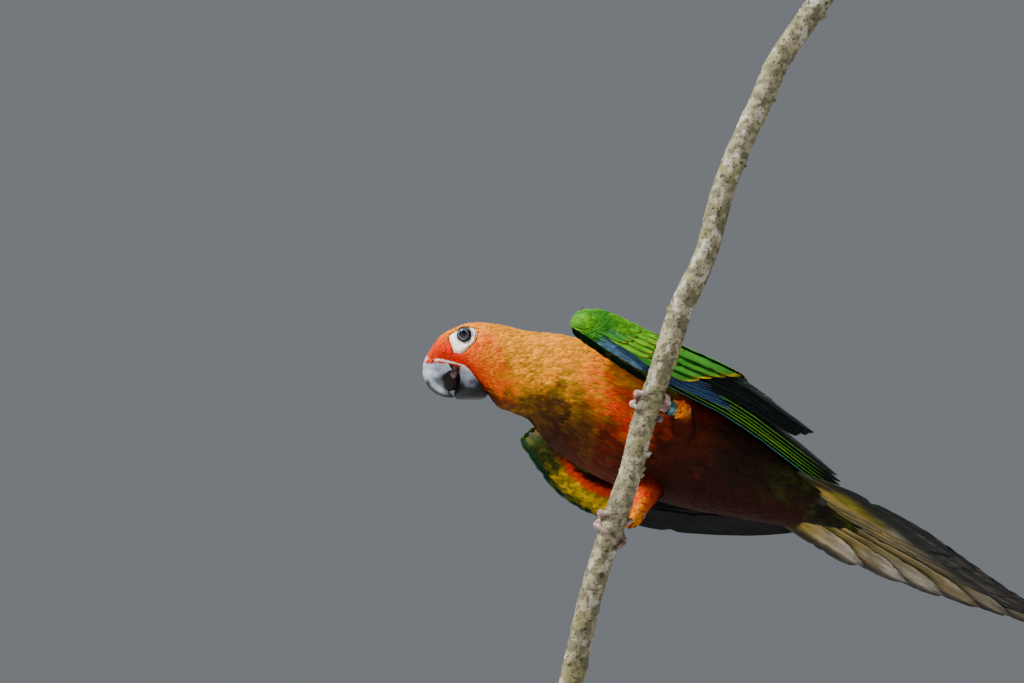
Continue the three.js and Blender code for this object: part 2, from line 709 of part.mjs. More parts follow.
// Stand: a flat round base and one short upright rod up to the perch's level lower end
const rodTop = branchFoot.clone().applyAxisAngle(vec(1, 0, 0), POSE_TURN).add(POSE_SHIFT);
const base = new THREE.CylinderGeometry(BASE_RADIUS, BASE_RADIUS, BASE_THICK, 60);
base.rotateX(Math.PI / 2);
base.translate(0, 0, BASE_THICK / 2);
const rodLength = rodTop.z - BASE_THICK - 2 * GAP;
const rod = new THREE.CylinderGeometry(ROD_RADIUS, ROD_RADIUS, rodLength, 32);
rod.rotateX(Math.PI / 2);
rod.translate(rodTop.x, rodTop.y, BASE_THICK + GAP + rodLength / 2);

const root = new THREE.Group();
root.add(bird);
root.add(node('stand_base', base, LOOKS.stand));
root.add(node('stand_rod', rod, LOOKS.rod));
root.updateMatrixWorld(true);

export default root;
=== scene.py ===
import math

import bmesh
import bpy
import numpy as np
from mathutils import Matrix, Vector
from mathutils.bvhtree import BVHTree


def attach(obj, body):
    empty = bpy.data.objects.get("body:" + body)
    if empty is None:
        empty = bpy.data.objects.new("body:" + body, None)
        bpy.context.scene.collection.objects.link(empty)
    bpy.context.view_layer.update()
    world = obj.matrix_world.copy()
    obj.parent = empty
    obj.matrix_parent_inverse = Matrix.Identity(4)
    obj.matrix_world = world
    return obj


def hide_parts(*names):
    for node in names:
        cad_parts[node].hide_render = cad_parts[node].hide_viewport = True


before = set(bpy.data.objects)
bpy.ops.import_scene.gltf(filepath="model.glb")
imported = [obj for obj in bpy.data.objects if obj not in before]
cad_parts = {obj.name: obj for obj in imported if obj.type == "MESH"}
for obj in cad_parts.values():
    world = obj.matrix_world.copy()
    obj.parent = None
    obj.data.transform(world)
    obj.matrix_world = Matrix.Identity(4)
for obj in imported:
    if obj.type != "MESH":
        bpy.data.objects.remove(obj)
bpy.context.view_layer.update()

# Sizes are in millimetres in the pose frame: x to the right of the photograph, y up, z to the viewer
TAU = 2 * math.pi
MM = 0.001
POSE_TURN = math.radians(110)
POSE_SHIFT = np.array([-60.0, 0.0, 260.0])
COAT_DEPTH = 1.7
EYE_RADIUS = 4.0
EYE_DEPTH = 9.2
BRANCH_RADIUS = 5.1
TARSUS_RADIUS = 2.1
TOE_RADIUS = 1.75


# Small helpers for vectors, mixing and smooth noise
def mix(a, b, t):
    return a + (b - a) * t


def step(x, low, high):
    t = np.clip((np.asarray(x, float) - low) / (high - low), 0, 1)
    return t * t * (3 - 2 * t)


def unit(v):
    v = np.asarray(v, float)
    return v / np.maximum(np.linalg.norm(v, axis=-1, keepdims=True), 1e-9)


def bump_at(x, centre, width):
    return np.exp(-((np.asarray(x, float) - centre) / width) ** 2)


def round_off(x, power=2, least=0.0):
    """One at x = 0, falling in a rounded shoulder towards x = 1 and -1; least is the square it stops at."""
    return np.sqrt(np.maximum(least, 1 - np.abs(x) ** power))


def to_world(points):
    points = np.asarray(points, float)
    c, s = math.cos(POSE_TURN), math.sin(POSE_TURN)
    x, y, z = points[..., 0], points[..., 1], points[..., 2]
    return (np.stack([x, y * c - z * s, y * s + z * c], -1) + POSE_SHIFT) * MM


def noise(points, scale, seed):
    """Smooth random field from 0 to 1 over points in millimetres."""
    place = np.asarray(points, float) / scale
    cell = np.floor(place)
    part = place - cell
    part = part * part * (3 - 2 * part)
    total = np.zeros(place.shape[:-1])
    for corner in np.ndindex(2, 2, 2):
        key = (cell + corner).astype(np.int64)
        h = key[..., 0] * 73856093 + key[..., 1] * 19349663 + key[..., 2] * 83492791 + seed * 2971215073
        h = (h ^ (h >> 13)) & 0xFFFFFFFF
        h = (h * 1274126177) & 0xFFFFFFFF
        h = (h ^ (h >> 16)) & 0xFFFF
        weight = np.ones(place.shape[:-1])
        for axis in range(3):
            weight = weight * (part[..., axis] if corner[axis] else 1 - part[..., axis])
        total += weight * h / 65535
    return total


def linear(hex_text):
    """Linear colour from an sRGB hex value."""
    values = [int(hex_text[k:k + 2], 16) / 255 for k in (1, 3, 5)]
    return np.array([v / 12.92 if v <= 0.04045 else ((v + 0.055) / 1.055) ** 2.4 for v in values])


def blend(base, over, amount):
    amount = np.asarray(amount, float)[..., None]
    return base * (1 - amount) + over * amount


class Curve:
    """Smooth centripetal curve through points, by share of the points or of the length."""

    def __init__(self, points):
        points = np.asarray(points, float)
        before = 2 * points[0] - points[1]
        after = 2 * points[-1] - points[-2]
        self.knots = np.vstack([before, points, after])
        self.spans = len(points) - 1
        self.table = np.linspace(0, 1, 1201)
        gaps = np.linalg.norm(np.diff(self.point(self.table), axis=0), axis=1)
        self.reach = np.concatenate([[0], np.cumsum(gaps)])
        self.length = self.reach[-1]

    def point(self, t):
        p = np.asarray(t, float) * self.spans
        i = np.clip(np.floor(p), 0, self.spans - 1).astype(int)
        w = (p - i)[..., None]
        x0, x1, x2, x3 = (self.knots[i + k] for k in range(4))
        d0, d1, d2 = (np.maximum(np.linalg.norm(b - a, axis=-1, keepdims=True) ** 0.5, 1e-4)
                      for a, b in ((x0, x1), (x1, x2), (x2, x3)))
        m1 = ((x1 - x0) / d0 - (x2 - x0) / (d0 + d1) + (x2 - x1) / d1) * d1
        m2 = ((x2 - x1) / d1 - (x3 - x1) / (d1 + d2) + (x3 - x2) / d2) * d1
        return x1 + m1 * w + (-3 * x1 + 3 * x2 - 2 * m1 - m2) * w ** 2 + (2 * x1 - 2 * x2 + m1 + m2) * w ** 3

    def share(self, u):
        return np.interp(np.asarray(u, float) * self.length, self.reach, self.table)

    def at(self, u):
        return self.point(self.share(u))

    def along(self, t):
        t = np.asarray(t, float)
        return unit(self.point(np.minimum(t + 1e-4, 1)) - self.point(np.maximum(t - 1e-4, 0)))


# Trunk and head: the same stations as the solids, from the face over crown, neck, breast and belly
# to the tail's core, each with its middle, the direction of its upper side, its depth above and
# below the middle, and its half width
SHOULDER = np.array([16.5, -19.4, 0.0])
AHEAD = unit([-0.894, 0.447, 0])
TRUNK_UP = (0.293, 0.587, -0.755)
DORSAL = unit(TRUNK_UP)
LEFT = unit(np.cross(DORSAL, AHEAD))
STATIONS = [
    ((-26.5, -10.5, 0), (-1, 0.08, 0), (13.5, 14, 9)),
    ((-24.8, -9.0, 0), (-0.86, 0.5, 0), (15.8, 15.6, 12.6)),
    ((-20.5, -10.6, 0), (-0.56, 0.83, 0), (18.8, 18.4, 14.8)),
    ((-11.5, -10.5, 0), (-0.39, 0.92, 0), (21.5, 21.2, 16.2)),
    ((-2.5, -11.7, 0), (-0.2, 0.97, -0.05), (21.5, 21.5, 17.0)),
    ((6.8, -14.6, 0), (-0.05, 0.96, -0.25), (21.2, 21.5, 19.5)),
    ((16.5, -18.2, 0), (0.12, 0.84, -0.52), (22.5, 23.5, 24)),
    ((30, -25, 0), (0.25, 0.68, -0.68), (24, 27, 27.5)),
    ((50, -35.4, 0), TRUNK_UP, (25, 29.5, 29.5)),
    ((72, -46.6, 0), TRUNK_UP, (24.5, 28, 29)),
    ((95, -58, 0), TRUNK_UP, (20.5, 23, 24)),
    ((113, -67, 0), TRUNK_UP, (15.5, 17, 18)),
    ((130, -75.5, 0), TRUNK_UP, (10, 10.5, 13.5)),
    ((144, -82.5, 0), TRUNK_UP, (4.5, 3.5, 10.5)),
]
STATION_SPANS = len(STATIONS) - 1
SPINE = Curve([middle for middle, up, depths in STATIONS])
UPS = Curve([unit(up) for middle, up, depths in STATIONS])
DEPTHS = Curve([depths for middle, up, depths in STATIONS])


def on_body(ahead, dorsal, left):
    return SHOULDER + AHEAD * ahead + DORSAL * dorsal + LEFT * left


def on_coat(t, angle, grow):
    """Point of the coat's surface: share along the stations, turn from the back, extra height."""
    t, angle, grow = np.broadcast_arrays(np.asarray(t, float), angle, grow)
    up = unit(UPS.point(t))
    side = unit(np.cross(SPINE.along(t), up))
    depth = DEPTHS.point(t)
    tall = np.where(np.cos(angle) > 0, depth[..., 0], depth[..., 1]) + grow
    rise = up * (tall * np.cos(angle))[..., None]
    return SPINE.point(t) + rise + side * ((depth[..., 2] + grow) * np.sin(angle))[..., None]


# Wings: a leading edge on the trunk's axes, a direction across to the rear part, and a fold
WING_LENGTH = 152
FOLD_RADIUS = 8
WINGS = {
    "left": {
        "side": 1, "fold": math.radians(100), "across": (0, 0.97, 0.06),
        "edge": [(0, -3, 41), (-39, -5, 37.5), (-80, 1, 33), (-148, 7, 15)],
    },
    "right": {
        "side": -1, "fold": math.radians(62), "across": (0, 0.86, -0.5),
        "edge": [(-6, -1, 38.5), (-35, -9, 49.5), (-70, -9, 45.2), (-115, 1, 29.5), (-148, 12, 14)],
    },
}


def wing_chart(wing):
    side, fold = wing["side"], wing["fold"]
    line = Curve([on_body(a, d, l * side) for a, d, l in wing["edge"]])
    a, d, l = wing["across"]
    over = unit(on_body(a, d, l * side) - SHOULDER)

    def place(along, across, level):
        along, across, level = np.broadcast_arrays(np.asarray(along, float), across, level)
        t = along / WING_LENGTH
        held = np.clip(t, 0, 1)
        share = line.share(held)
        tangent = line.along(share)
        outward = unit(np.cross(tangent, over) * side)
        flat = unit(np.cross(outward, tangent))
        flat = flat * np.where((flat @ over) < 0, -1, 1)[..., None]
        width = mix(9, 15, step(along, 0, 45))
        turn = np.clip((across - width) / FOLD_RADIUS, 0, fold)
        rest = np.maximum(0, across - width - FOLD_RADIUS * fold)
        rise = np.minimum(across, width) + FOLD_RADIUS * np.sin(turn) + rest * math.cos(fold)
        inward = FOLD_RADIUS * (1 - np.cos(turn)) + rest * math.sin(fold)
        return (line.point(share) + tangent * ((t - held) * WING_LENGTH)[..., None]
                + flat * (rise + level * np.sin(turn))[..., None]
                + outward * (level * np.cos(turn) - inward)[..., None])

    return place


# Tail: distance behind its start, distance to the left, level towards the back
TAIL_START = SPINE.point(11.5 / STATION_SPANS)
TAIL_LENGTH = 146
TAIL_OFFSET = 3.5


def tail_chart(along, across, level):
    along, across, level = np.broadcast_arrays(np.asarray(along, float), across, level)
    droop = 0.00018 * np.maximum(0, along - 30) ** 2
    return (TAIL_START - AHEAD * along[..., None] + LEFT * (across + TAIL_OFFSET)[..., None]
            + DORSAL * level[..., None] + np.array([-0.447, -0.894, 0]) * droop[..., None])


# Perch: the branch leans to the right and a little forward as it rises
BRANCH_POINTS = [
    (15, -190), (25, -149), (36.7, -101), (44.5, -78), (52.5, -54), (56.5, -38), (65.5, -12),
    (74, 14), (85, 38), (95, 72), (110, 106), (119, 126), (131, 143), (140, 156),
]


def branch_at(x, y):
    return np.array([x, y, 48 - 0.06 * (y + 40)], float)


BRANCH = Curve([branch_at(x, y) for x, y in BRANCH_POINTS])
BRANCH_FOOT = branch_at(18, -178)


def branch_share(height):
    shares = np.linspace(0, 1, 2001)
    return float(np.interp(height, BRANCH.at(shares)[:, 1], shares))


def beside_branch(share, turn, clearance):
    """Place beside the branch: share of its length, turn about it from the front, clearance."""
    share, turn, clearance = np.broadcast_arrays(np.asarray(share, float), turn, clearance)
    along = BRANCH.along(BRANCH.share(share))
    front = unit(np.array([0, 0, 1.0]) - along * along[..., 2:3])
    right = unit(np.cross(along, front))
    radius = (BRANCH_RADIUS * mix(1.0, 0.98, share) + clearance)[..., None]
    return BRANCH.at(share) + (front * np.cos(turn)[..., None] + right * np.sin(turn)[..., None]) * radius


# Feet: where each leg leaves the body, and how each toe wraps the branch
FEET = {
    "left": {
        "hip": on_body(-66, -10, 7), "ankle": np.array([79, -31.5, 33]), "sole": -27,
        "sock": 0.3, "bright": 0.62, "knee": 1.25,
        "toes": {"outer": (-27, 4, 190, 352), "inner": (-28, -3, 190, 330),
                 "hind": (-26, 5, 170, 38), "back": (-29, -4.5, 170, 58)},
    },
    "right": {
        "hip": on_body(-60, -10, -9), "ankle": np.array([58, -77, 33.0]), "sole": -80,
        "sock": 0.5, "bright": 0.3, "knee": 1.32,
        "toes": {"outer": (-79, 4.5, 190, 350), "inner": (-80.5, -3, 190, 365),
                 "hind": (-80, -9, 170, 35), "back": (-78, 3, 170, 70)},
    },
}
TOE_SHARE = 0.78
EYE_PLACE = np.array([-22.1, 3.1])
GAPE = np.array([-28, -13.5, 0.0])


def sole_of(foot):
    return beside_branch(branch_share(foot["sole"]), math.radians(180), 2.2)


# Camera at the photograph's viewing angle, 20 degrees up from below the bird
camera_data = bpy.data.cameras.new("camera")
camera_data.sensor_width = 36
camera_data.lens = 47.7
camera_data.clip_start = 0.01
camera = bpy.data.objects.new("camera", camera_data)
bpy.context.collection.objects.link(camera)
camera.location = (-0.060, -0.6014, 0.0411)
camera.rotation_euler = (math.radians(110), 0, 0)
bpy.context.scene.camera = camera


# Plain soft studio light: key from the upper left, weak fill from the front left, rim from behind
def area_light(name, place, aim, size, watts, colour):
    data = bpy.data.lights.new(name, "AREA")
    data.shape = "DISK"
    data.size = size
    data.energy = watts
    data.color = colour
    light = bpy.data.objects.new(name, data)
    light.location = place
    light.rotation_euler = (Vector(aim) - Vector(place)).to_track_quat("-Z", "Y").to_euler()
    bpy.context.collection.objects.link(light)


BIRD_MIDDLE = (0.0, 0.0, 0.25)
area_light("key_light", (-0.8, -0.52, 1.35), BIRD_MIDDLE, 0.25, 60, (1.0, 0.965, 0.90))
area_light("fill_light", (-0.78, -1.06, 0.4), BIRD_MIDDLE, 0.12, 1.4, (0.90, 0.95, 1.0))
area_light("rim_light", (0.35, 1.2, 1.0), BIRD_MIDDLE, 0.6, 4, (1.0, 0.98, 0.95))


# Materials: short functions for the nodes that most of them share
def add(tree, kind, settings=None, **links):
    """Add a node, set its settings and inputs, and link outputs of other nodes into it."""
    node = tree.nodes.new(kind)
    for key, value in (settings or {}).items():
        setattr(node, key, value)
    for key, value in links.items():
        by_number = key[0] == "i" and key[1:].isdigit()
        socket = node.inputs[int(key[1:]) if by_number else key.replace("_", " ")]
        if isinstance(value, bpy.types.NodeSocket):
            tree.links.new(value, socket)
        else:
            socket.default_value = value
    return node


def rgba(hex_text):
    return (*linear(hex_text), 1.0)


def new_material(name):
    material = bpy.data.materials.new(name)
    material.use_nodes = True
    material.node_tree.nodes.clear()
    return material, material.node_tree


def painted(tree):
    """Colour painted on the mesh."""
    return add(tree, "ShaderNodeAttribute", {"attribute_name": "Tint"}).outputs[0]


def place_on(tree):
    """Place on the object, in metres."""
    return add(tree, "ShaderNodeTexCoord").outputs["Object"]


def drawn_out(tree, vector, scale):
    return add(tree, "ShaderNodeMapping", Vector=vector, Scale=scale).outputs[0]


def cloud_on(tree, vector, scale, detail, **more):
    return add(tree, "ShaderNodeTexNoise", Vector=vector, Scale=scale, Detail=detail, **more).outputs[0]


def flat_cloud_on(tree, vector, scale, **more):
    flat = {"noise_dimensions": "2D"}
    return add(tree, "ShaderNodeTexNoise", flat, Vector=vector, Scale=scale, Detail=2.0, **more).outputs[0]


def mapped(tree, value, to_min, to_max, from_min=0.3, from_max=0.7):
    return add(tree, "ShaderNodeMapRange", Value=value, From_Min=from_min, From_Max=from_max,
               To_Min=to_min, To_Max=to_max).outputs[0]


def scaled(tree, vector, factor):
    return add(tree, "ShaderNodeVectorMath", {"operation": "SCALE"}, i0=vector, Scale=factor).outputs[0]


def numbered(values):
    return {f"i{k}": value for k, value in enumerate(values)}


def math_on(tree, operation, *values):
    return add(tree, "ShaderNodeMath", {"operation": operation}, **numbered(values)).outputs[0]


def vector_math(tree, operation, *values):
    return add(tree, "ShaderNodeVectorMath", {"operation": operation}, **numbered(values))


def tones_on(tree, factor, dark, light):
    colours = {"i6": rgba(dark), "i7": rgba(light)}
    return add(tree, "ShaderNodeMix", {"data_type": "RGBA"}, Factor=factor, **colours).outputs[2]


def surface(tree, colour, rough, height=None, strength=0.0, depth_mm=0.0, **more):
    """Closes a material; height, strength and depth_mm give its relief, more its other inputs."""
    if height is not None:
        relief = add(tree, "ShaderNodeBump", Height=height, Strength=strength, Distance=depth_mm * MM)
        more["Normal"] = relief.outputs[0]
    shader = add(tree, "ShaderNodeBsdfPrincipled", Base_Color=colour, Roughness=rough, **more)
    add(tree, "ShaderNodeOutputMaterial", Surface=shader.outputs[0])


# Meshes
def settle(piece, slot, *nodes):
    """Puts a finished piece on the root body, in place of the CAD nodes named; the slot is not used."""
    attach(piece, "root")
    if nodes:
        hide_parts(*nodes)


def finish_piece(mesh, name, material, smooth=True):
    piece = bpy.data.objects.new(name, mesh)
    bpy.context.collection.objects.link(piece)
    if smooth:
        mesh.shade_smooth()
    if material is not None:
        mesh.materials.append(material)
    return piece


def rolled(place, rows, around, caps=True):
    """Grid bent over a chart and closed: place(share along, turn) gives points in the pose frame."""
    bm = bmesh.new()
    bmesh.ops.create_grid(bm, x_segments=rows, y_segments=around, size=0.5)
    shares = np.array([vert.co for vert in bm.verts]) + 0.5
    points = to_world(place(shares[:, 0], shares[:, 1] * TAU))
    for vert, point in zip(bm.verts, points):
        vert.co = point
    bmesh.ops.remove_doubles(bm, verts=bm.verts, dist=1e-6)
    if caps:
        bmesh.ops.holes_fill(bm, edges=[e for e in bm.edges if e.is_boundary], sides=0)
    bmesh.ops.recalc_face_normals(bm, faces=bm.faces)
    return bm


def to_piece(bm, name, material, smooth=True):
    mesh = bpy.data.meshes.new(name)
    bm.to_mesh(mesh)
    bm.free()
    return finish_piece(mesh, name, material, smooth)


def take_in(bm, other):
    """Adds the other mesh's faces to the first."""
    mesh = bpy.data.meshes.new("limb")
    other.to_mesh(mesh)
    other.free()
    bm.from_mesh(mesh)
    bpy.data.meshes.remove(mesh)


def one_skin(bm, name, cell_mm, smoothings):
    """Fuses overlapping closed forms into a single smooth closed mesh."""
    rough = to_piece(bm, f"{name}_form", None)
    fused = rough.modifiers.new("one_skin", "REMESH")
    fused.mode = "VOXEL"
    fused.voxel_size = cell_mm * MM
    soft = rough.modifiers.new("soften", "SMOOTH")
    soft.iterations = smoothings
    graph = bpy.context.evaluated_depsgraph_get()
    mesh = bpy.data.meshes.new_from_object(rough.evaluated_get(graph), depsgraph=graph)
    bpy.data.objects.remove(rough)
    mesh.name = name
    return mesh


def turned(profile, steps, merge, closed=False):
    """Round form from a profile of radius and height in millimetres."""
    bm = bmesh.new()
    verts = [bm.verts.new((x * MM, 0, z * MM)) for x, z in profile]
    ends = verts[1:] + (verts[:1] if closed else [])
    edges = [bm.edges.new(pair) for pair in zip(verts, ends)]
    bmesh.ops.spin(bm, geom=verts + edges, cent=(0, 0, 0), axis=(0, 0, 1), angle=TAU, steps=steps,
                   use_merge=True)
    bmesh.ops.remove_doubles(bm, verts=bm.verts, dist=merge)
    bmesh.ops.recalc_face_normals(bm, faces=bm.faces)
    return bm


def turned_to(way):
    """Rotation that turns the z axis to a direction in the world."""
    return Vector(way).to_track_quat("Z", "Y").to_matrix().to_4x4()


def pose_points(mesh):
    """Vertices of a mesh in the pose frame, in millimetres."""
    flat = np.empty(len(mesh.vertices) * 3)
    mesh.vertices.foreach_get("co", flat)
    points = flat.reshape(-1, 3) / MM - POSE_SHIFT
    c, s = math.cos(POSE_TURN), math.sin(POSE_TURN)
    x, y, z = points.T
    return np.stack([x, y * c + z * s, -y * s + z * c], -1)


def set_tint(mesh, colours):
    layer = mesh.color_attributes.new("Tint", "FLOAT_COLOR", "POINT")
    layer.data.foreach_set("color", np.column_stack([colours, np.ones(len(colours))]).ravel())


class Batch:
    """Arrays of many feathers, gathered for one joined mesh."""

    def __init__(self):
        self.points, self.faces, self.tints, self.vanes, self.patches = [], [], [], [], []
        self.count = 0

    def gather(self, points, faces, tints, vanes, patches):
        self.points.append(points)
        self.faces.append(faces + self.count)
        self.tints.append(tints)
        self.vanes.append(vanes)
        self.patches.append(patches)
        self.count += len(points)

    def build(self, name, material):
        points = to_world(np.vstack(self.points))
        faces = np.vstack(self.faces)
        mesh = bpy.data.meshes.new(name)
        mesh.vertices.add(len(points))
        mesh.vertices.foreach_set("co", points.ravel())
        mesh.loops.add(faces.size)
        mesh.loops.foreach_set("vertex_index", faces.ravel())
        mesh.polygons.add(len(faces))
        mesh.polygons.foreach_set("loop_start", np.arange(0, faces.size, 3))
        mesh.update(calc_edges=True)
        for layer_name, rows in (("OFBake", self.patches), ("Vane", self.vanes)):
            layer = mesh.uv_layers.new(name=layer_name)
            layer.data.foreach_set("uv", np.vstack(rows)[faces.ravel()].ravel())
        set_tint(mesh, np.vstack(self.tints))
        mesh.validate()
        return finish_piece(mesh, name, material)


# Small feathers: a flat blade whose tip divides into pointed locks of barbs
BLADE_KINDS = 7
BLADE_ROWS = 3
SPLIT_FROM = 0.5
# Each feather has its own tiny patch of the bake's layout, half as wide as tall
PATCH_SIZE = np.array([0.0015, 0.003])


def bake_spot(a, b, rim):
    """Place in the bake's layout for two shares from 0 to 1, inside a rim."""
    return np.stack(np.broadcast_arrays(rim + (1 - 2 * rim) * a, rim + (1 - 2 * rim) * b), -1)


def blade(seed, locks):
    rng = np.random.default_rng(seed)
    across = np.linspace(-1, 1, locks + 1)
    shade_across = 1 + 0.16 * (rng.random(locks + 1) - 0.5)
    verts = [(u, v, k) for v in np.linspace(0, SPLIT_FROM, BLADE_ROWS + 1) for k, u in enumerate(across)]
    faces = []
    for r in range(BLADE_ROWS):
        for k in range(locks):
            a = r * (locks + 1) + k
            b = a + locks + 1
            faces += [(a, a + 1, b + 1), (a, b + 1, b)]
    for k in range(locks):
        middle = (across[k] + across[k + 1]) / 2
        reach = 1 - 0.2 * middle * middle - 0.2 * rng.random()
        waist = mix(SPLIT_FROM, reach, 0.5)
        lean = middle * (1 + 0.12 * rng.random())
        narrow = 0.62 / locks
        a = BLADE_ROWS * (locks + 1) + k
        n = len(verts)
        verts += [(lean - narrow, waist, k), (lean + narrow, waist, k + 1), (lean, reach, k)]
        faces += [(a, a + 1, n + 1), (a, n + 1, n), (n, n + 1, n + 2)]
    table = np.array(verts, float)
    u, v = table[:, 0], table[:, 1]
    half = mix(0.42, 1, step(v, 0, 0.4)) * (1 - 0.3 * v ** 3)
    shade = mix(0.72, 1.05, v) * shade_across[table[:, 2].astype(int)]
    return u, v, u * half, shade, np.array(faces)


def plant(batch, line, normals, widths, tints, places, seed, locks=6, arch=0.2):
    """Set one small feather along each line, which is its root, its middle and its tip."""
    rng = np.random.default_rng(seed)
    kinds = rng.integers(0, BLADE_KINDS, len(normals))
    shifts = rng.integers(0, 40, (len(normals), 2))
    for kind in range(BLADE_KINDS):
        pick = np.nonzero(kinds == kind)[0]
        if len(pick) == 0:
            continue
        u, v, spread, shade, faces = blade(seed * 31 + kind, locks)
        r, m, t = (x[pick][:, None, :] for x in line)
        w = v[None, :, None]
        shaft = r * (2 * w * w - 3 * w + 1) + m * (4 * w - 4 * w * w) + t * (2 * w * w - w)
        tangent = r * (4 * w - 3) + m * (4 - 8 * w) + t * (4 * w - 1)
        side = unit(np.cross(normals[pick][:, None, :], tangent))
        raised = unit(np.cross(tangent, side))
        width = widths[pick][:, None, None] * 0.5
        points = shaft + side * width * spread[None, :, None]
        points = points + raised * width * (arch * (1 - u * u))[None, :, None]
        offsets = (np.arange(len(pick)) * len(u))[:, None, None]
        colour = tints[pick][:, None, :] * shade[None, :, None]
        vanes = np.stack([u * 0.5 + 0.5, v], -1)[None] + shifts[pick][:, None, :]
        patch = places[pick][:, None, :] + (np.stack([u, v - 0.5], -1) * PATCH_SIZE)[None]
        batch.gather(points.reshape(-1, 3), (faces[None] + offsets).reshape(-1, 3),
                     colour.reshape(-1, 3), vanes.reshape(-1, 2), patch.reshape(-1, 2))


def feather_spot(tree):
    """Place on a feather, across and along it."""
    return add(tree, "ShaderNodeUVMap", {"uv_map": "Vane"}).outputs[0]


def feather_material(name, rough, gleam, streaks, contrast, bump_mm):
    """Feather keratin: the painted tint, drawn out in fine barbs along or beside the shaft."""
    material, tree = new_material(name)
    barbs = flat_cloud_on(tree, drawn_out(tree, feather_spot(tree), streaks), 1.0, Roughness=0.6)
    colour = scaled(tree, painted(tree), mapped(tree, barbs, 1 - contrast, 1 + contrast))
    surface(tree, colour, mapped(tree, barbs, rough - 0.1, rough + 0.12), Specular_IOR_Level=gleam,
            height=barbs, strength=0.6, depth_mm=bump_mm)
    return material


# Contour feathers: soft matt keratin with loose barbs, about 0.3 mm apart, drawn along the blade
CONTOUR = feather_material("contour_feathers", 0.66, 0.08, (15, 1.3, 1), 0.6, 0.16)
# Covert feathers: firmer and a little silkier, barbs closer
COVERT = feather_material("covert_feathers", 0.62, 0.06, (13, 1.8, 1), 0.28, 0.08)


def oiled_vane_material(name, rough, contrast):
    """Flight feather keratin: zipped barbs slant from the shaft to the edge, with a satin sheen."""
    material, tree = new_material(name)
    spot = feather_spot(tree)
    parts = add(tree, "ShaderNodeSeparateXYZ", Vector=spot)
    away = math_on(tree, "ABSOLUTE", math_on(tree, "SUBTRACT", parts.outputs[0], 0.5))
    slant = math_on(tree, "MULTIPLY_ADD", away, -1.5, parts.outputs[1])
    lines = add(tree, "ShaderNodeCombineXYZ", X=slant, Y=away).outputs[0]
    # Real barbs stand about 0.4 mm apart; drawn near 0.9 mm so that they show in the render
    barbs = flat_cloud_on(tree, drawn_out(tree, lines, (110, 9, 1)), 1.0, Roughness=0.55)
    wide = flat_cloud_on(tree, spot, 9.0)
    shade = mapped(tree, math_on(tree, "ADD", barbs, wide), 1 - contrast, 1 + contrast, 0.7, 1.3)
    surface(tree, scaled(tree, painted(tree), shade), mapped(tree, wide, rough - 0.08, rough + 0.12),
            Specular_IOR_Level=0.2, height=barbs, strength=0.5, depth_mm=0.12)
    return material


# Feathers of the wings and, a little glossier, of the tail
VANE = oiled_vane_material("flight_feathers", 0.58, 0.3)
RECTRIX = oiled_vane_material("tail_feathers", 0.5, 0.34)


# Markings, shared by the skin and the coat; "shade", "shadow maroon" and "hole" are colours of painted shade
PAINT = {name: linear(value) for name, value in {
    "scarlet": "#DB2200", "flame": "#E23C00", "orange": "#EE6200", "gold": "#EA9200", "lemon": "#EEC000",
    "old gold": "#B08404", "olive": "#66640A", "moss": "#3F4A14", "rust": "#A02E04", "maroon": "#2E0F08",
    "umber": "#3A2410", "leaf": "#3A8424", "lime": "#66A814", "fern": "#1E5C12", "bottle": "#12331C",
    "blue": "#2E5C9C", "slate": "#4C6C94", "teal": "#3A9088", "ink": "#0D1418", "soot": "#1A1A18",
    "shade": "#1A150C", "silver": "#A8A096", "ash": "#6C655C", "brown": "#6E4A2A", "cream": "#D8C8A0",
    "skin": "#EDE4DC", "blush": "#D9B7A8", "cere blush": "#C9A79C", "lid grey": "#8A929C",
    "bill slate": "#939EB0", "bill scuff": "#DCE0E8", "bill dark": "#060708",
    "scute": "#8A6A68", "scute rose": "#C9A09A", "scute dark": "#5A4A48", "claw": "#8A7B72",
    "claw tip": "#4A4038", "bark": "#6C6852", "bark pale": "#989176", "bark olive": "#7C7A48",
    "bark brown": "#5E5A46", "lichen": "#C4C2B6", "fissure": "#2C2620", "hole": "#14100C",
}.items()}


def layers(base, *over):
    """Colours laid one over another: each layer is a colour or its name, and how strongly it covers."""
    base = PAINT[base] if isinstance(base, str) else base
    for colour, amount in over:
        base = blend(base, PAINT[colour] if isinstance(colour, str) else colour, amount)
    return base


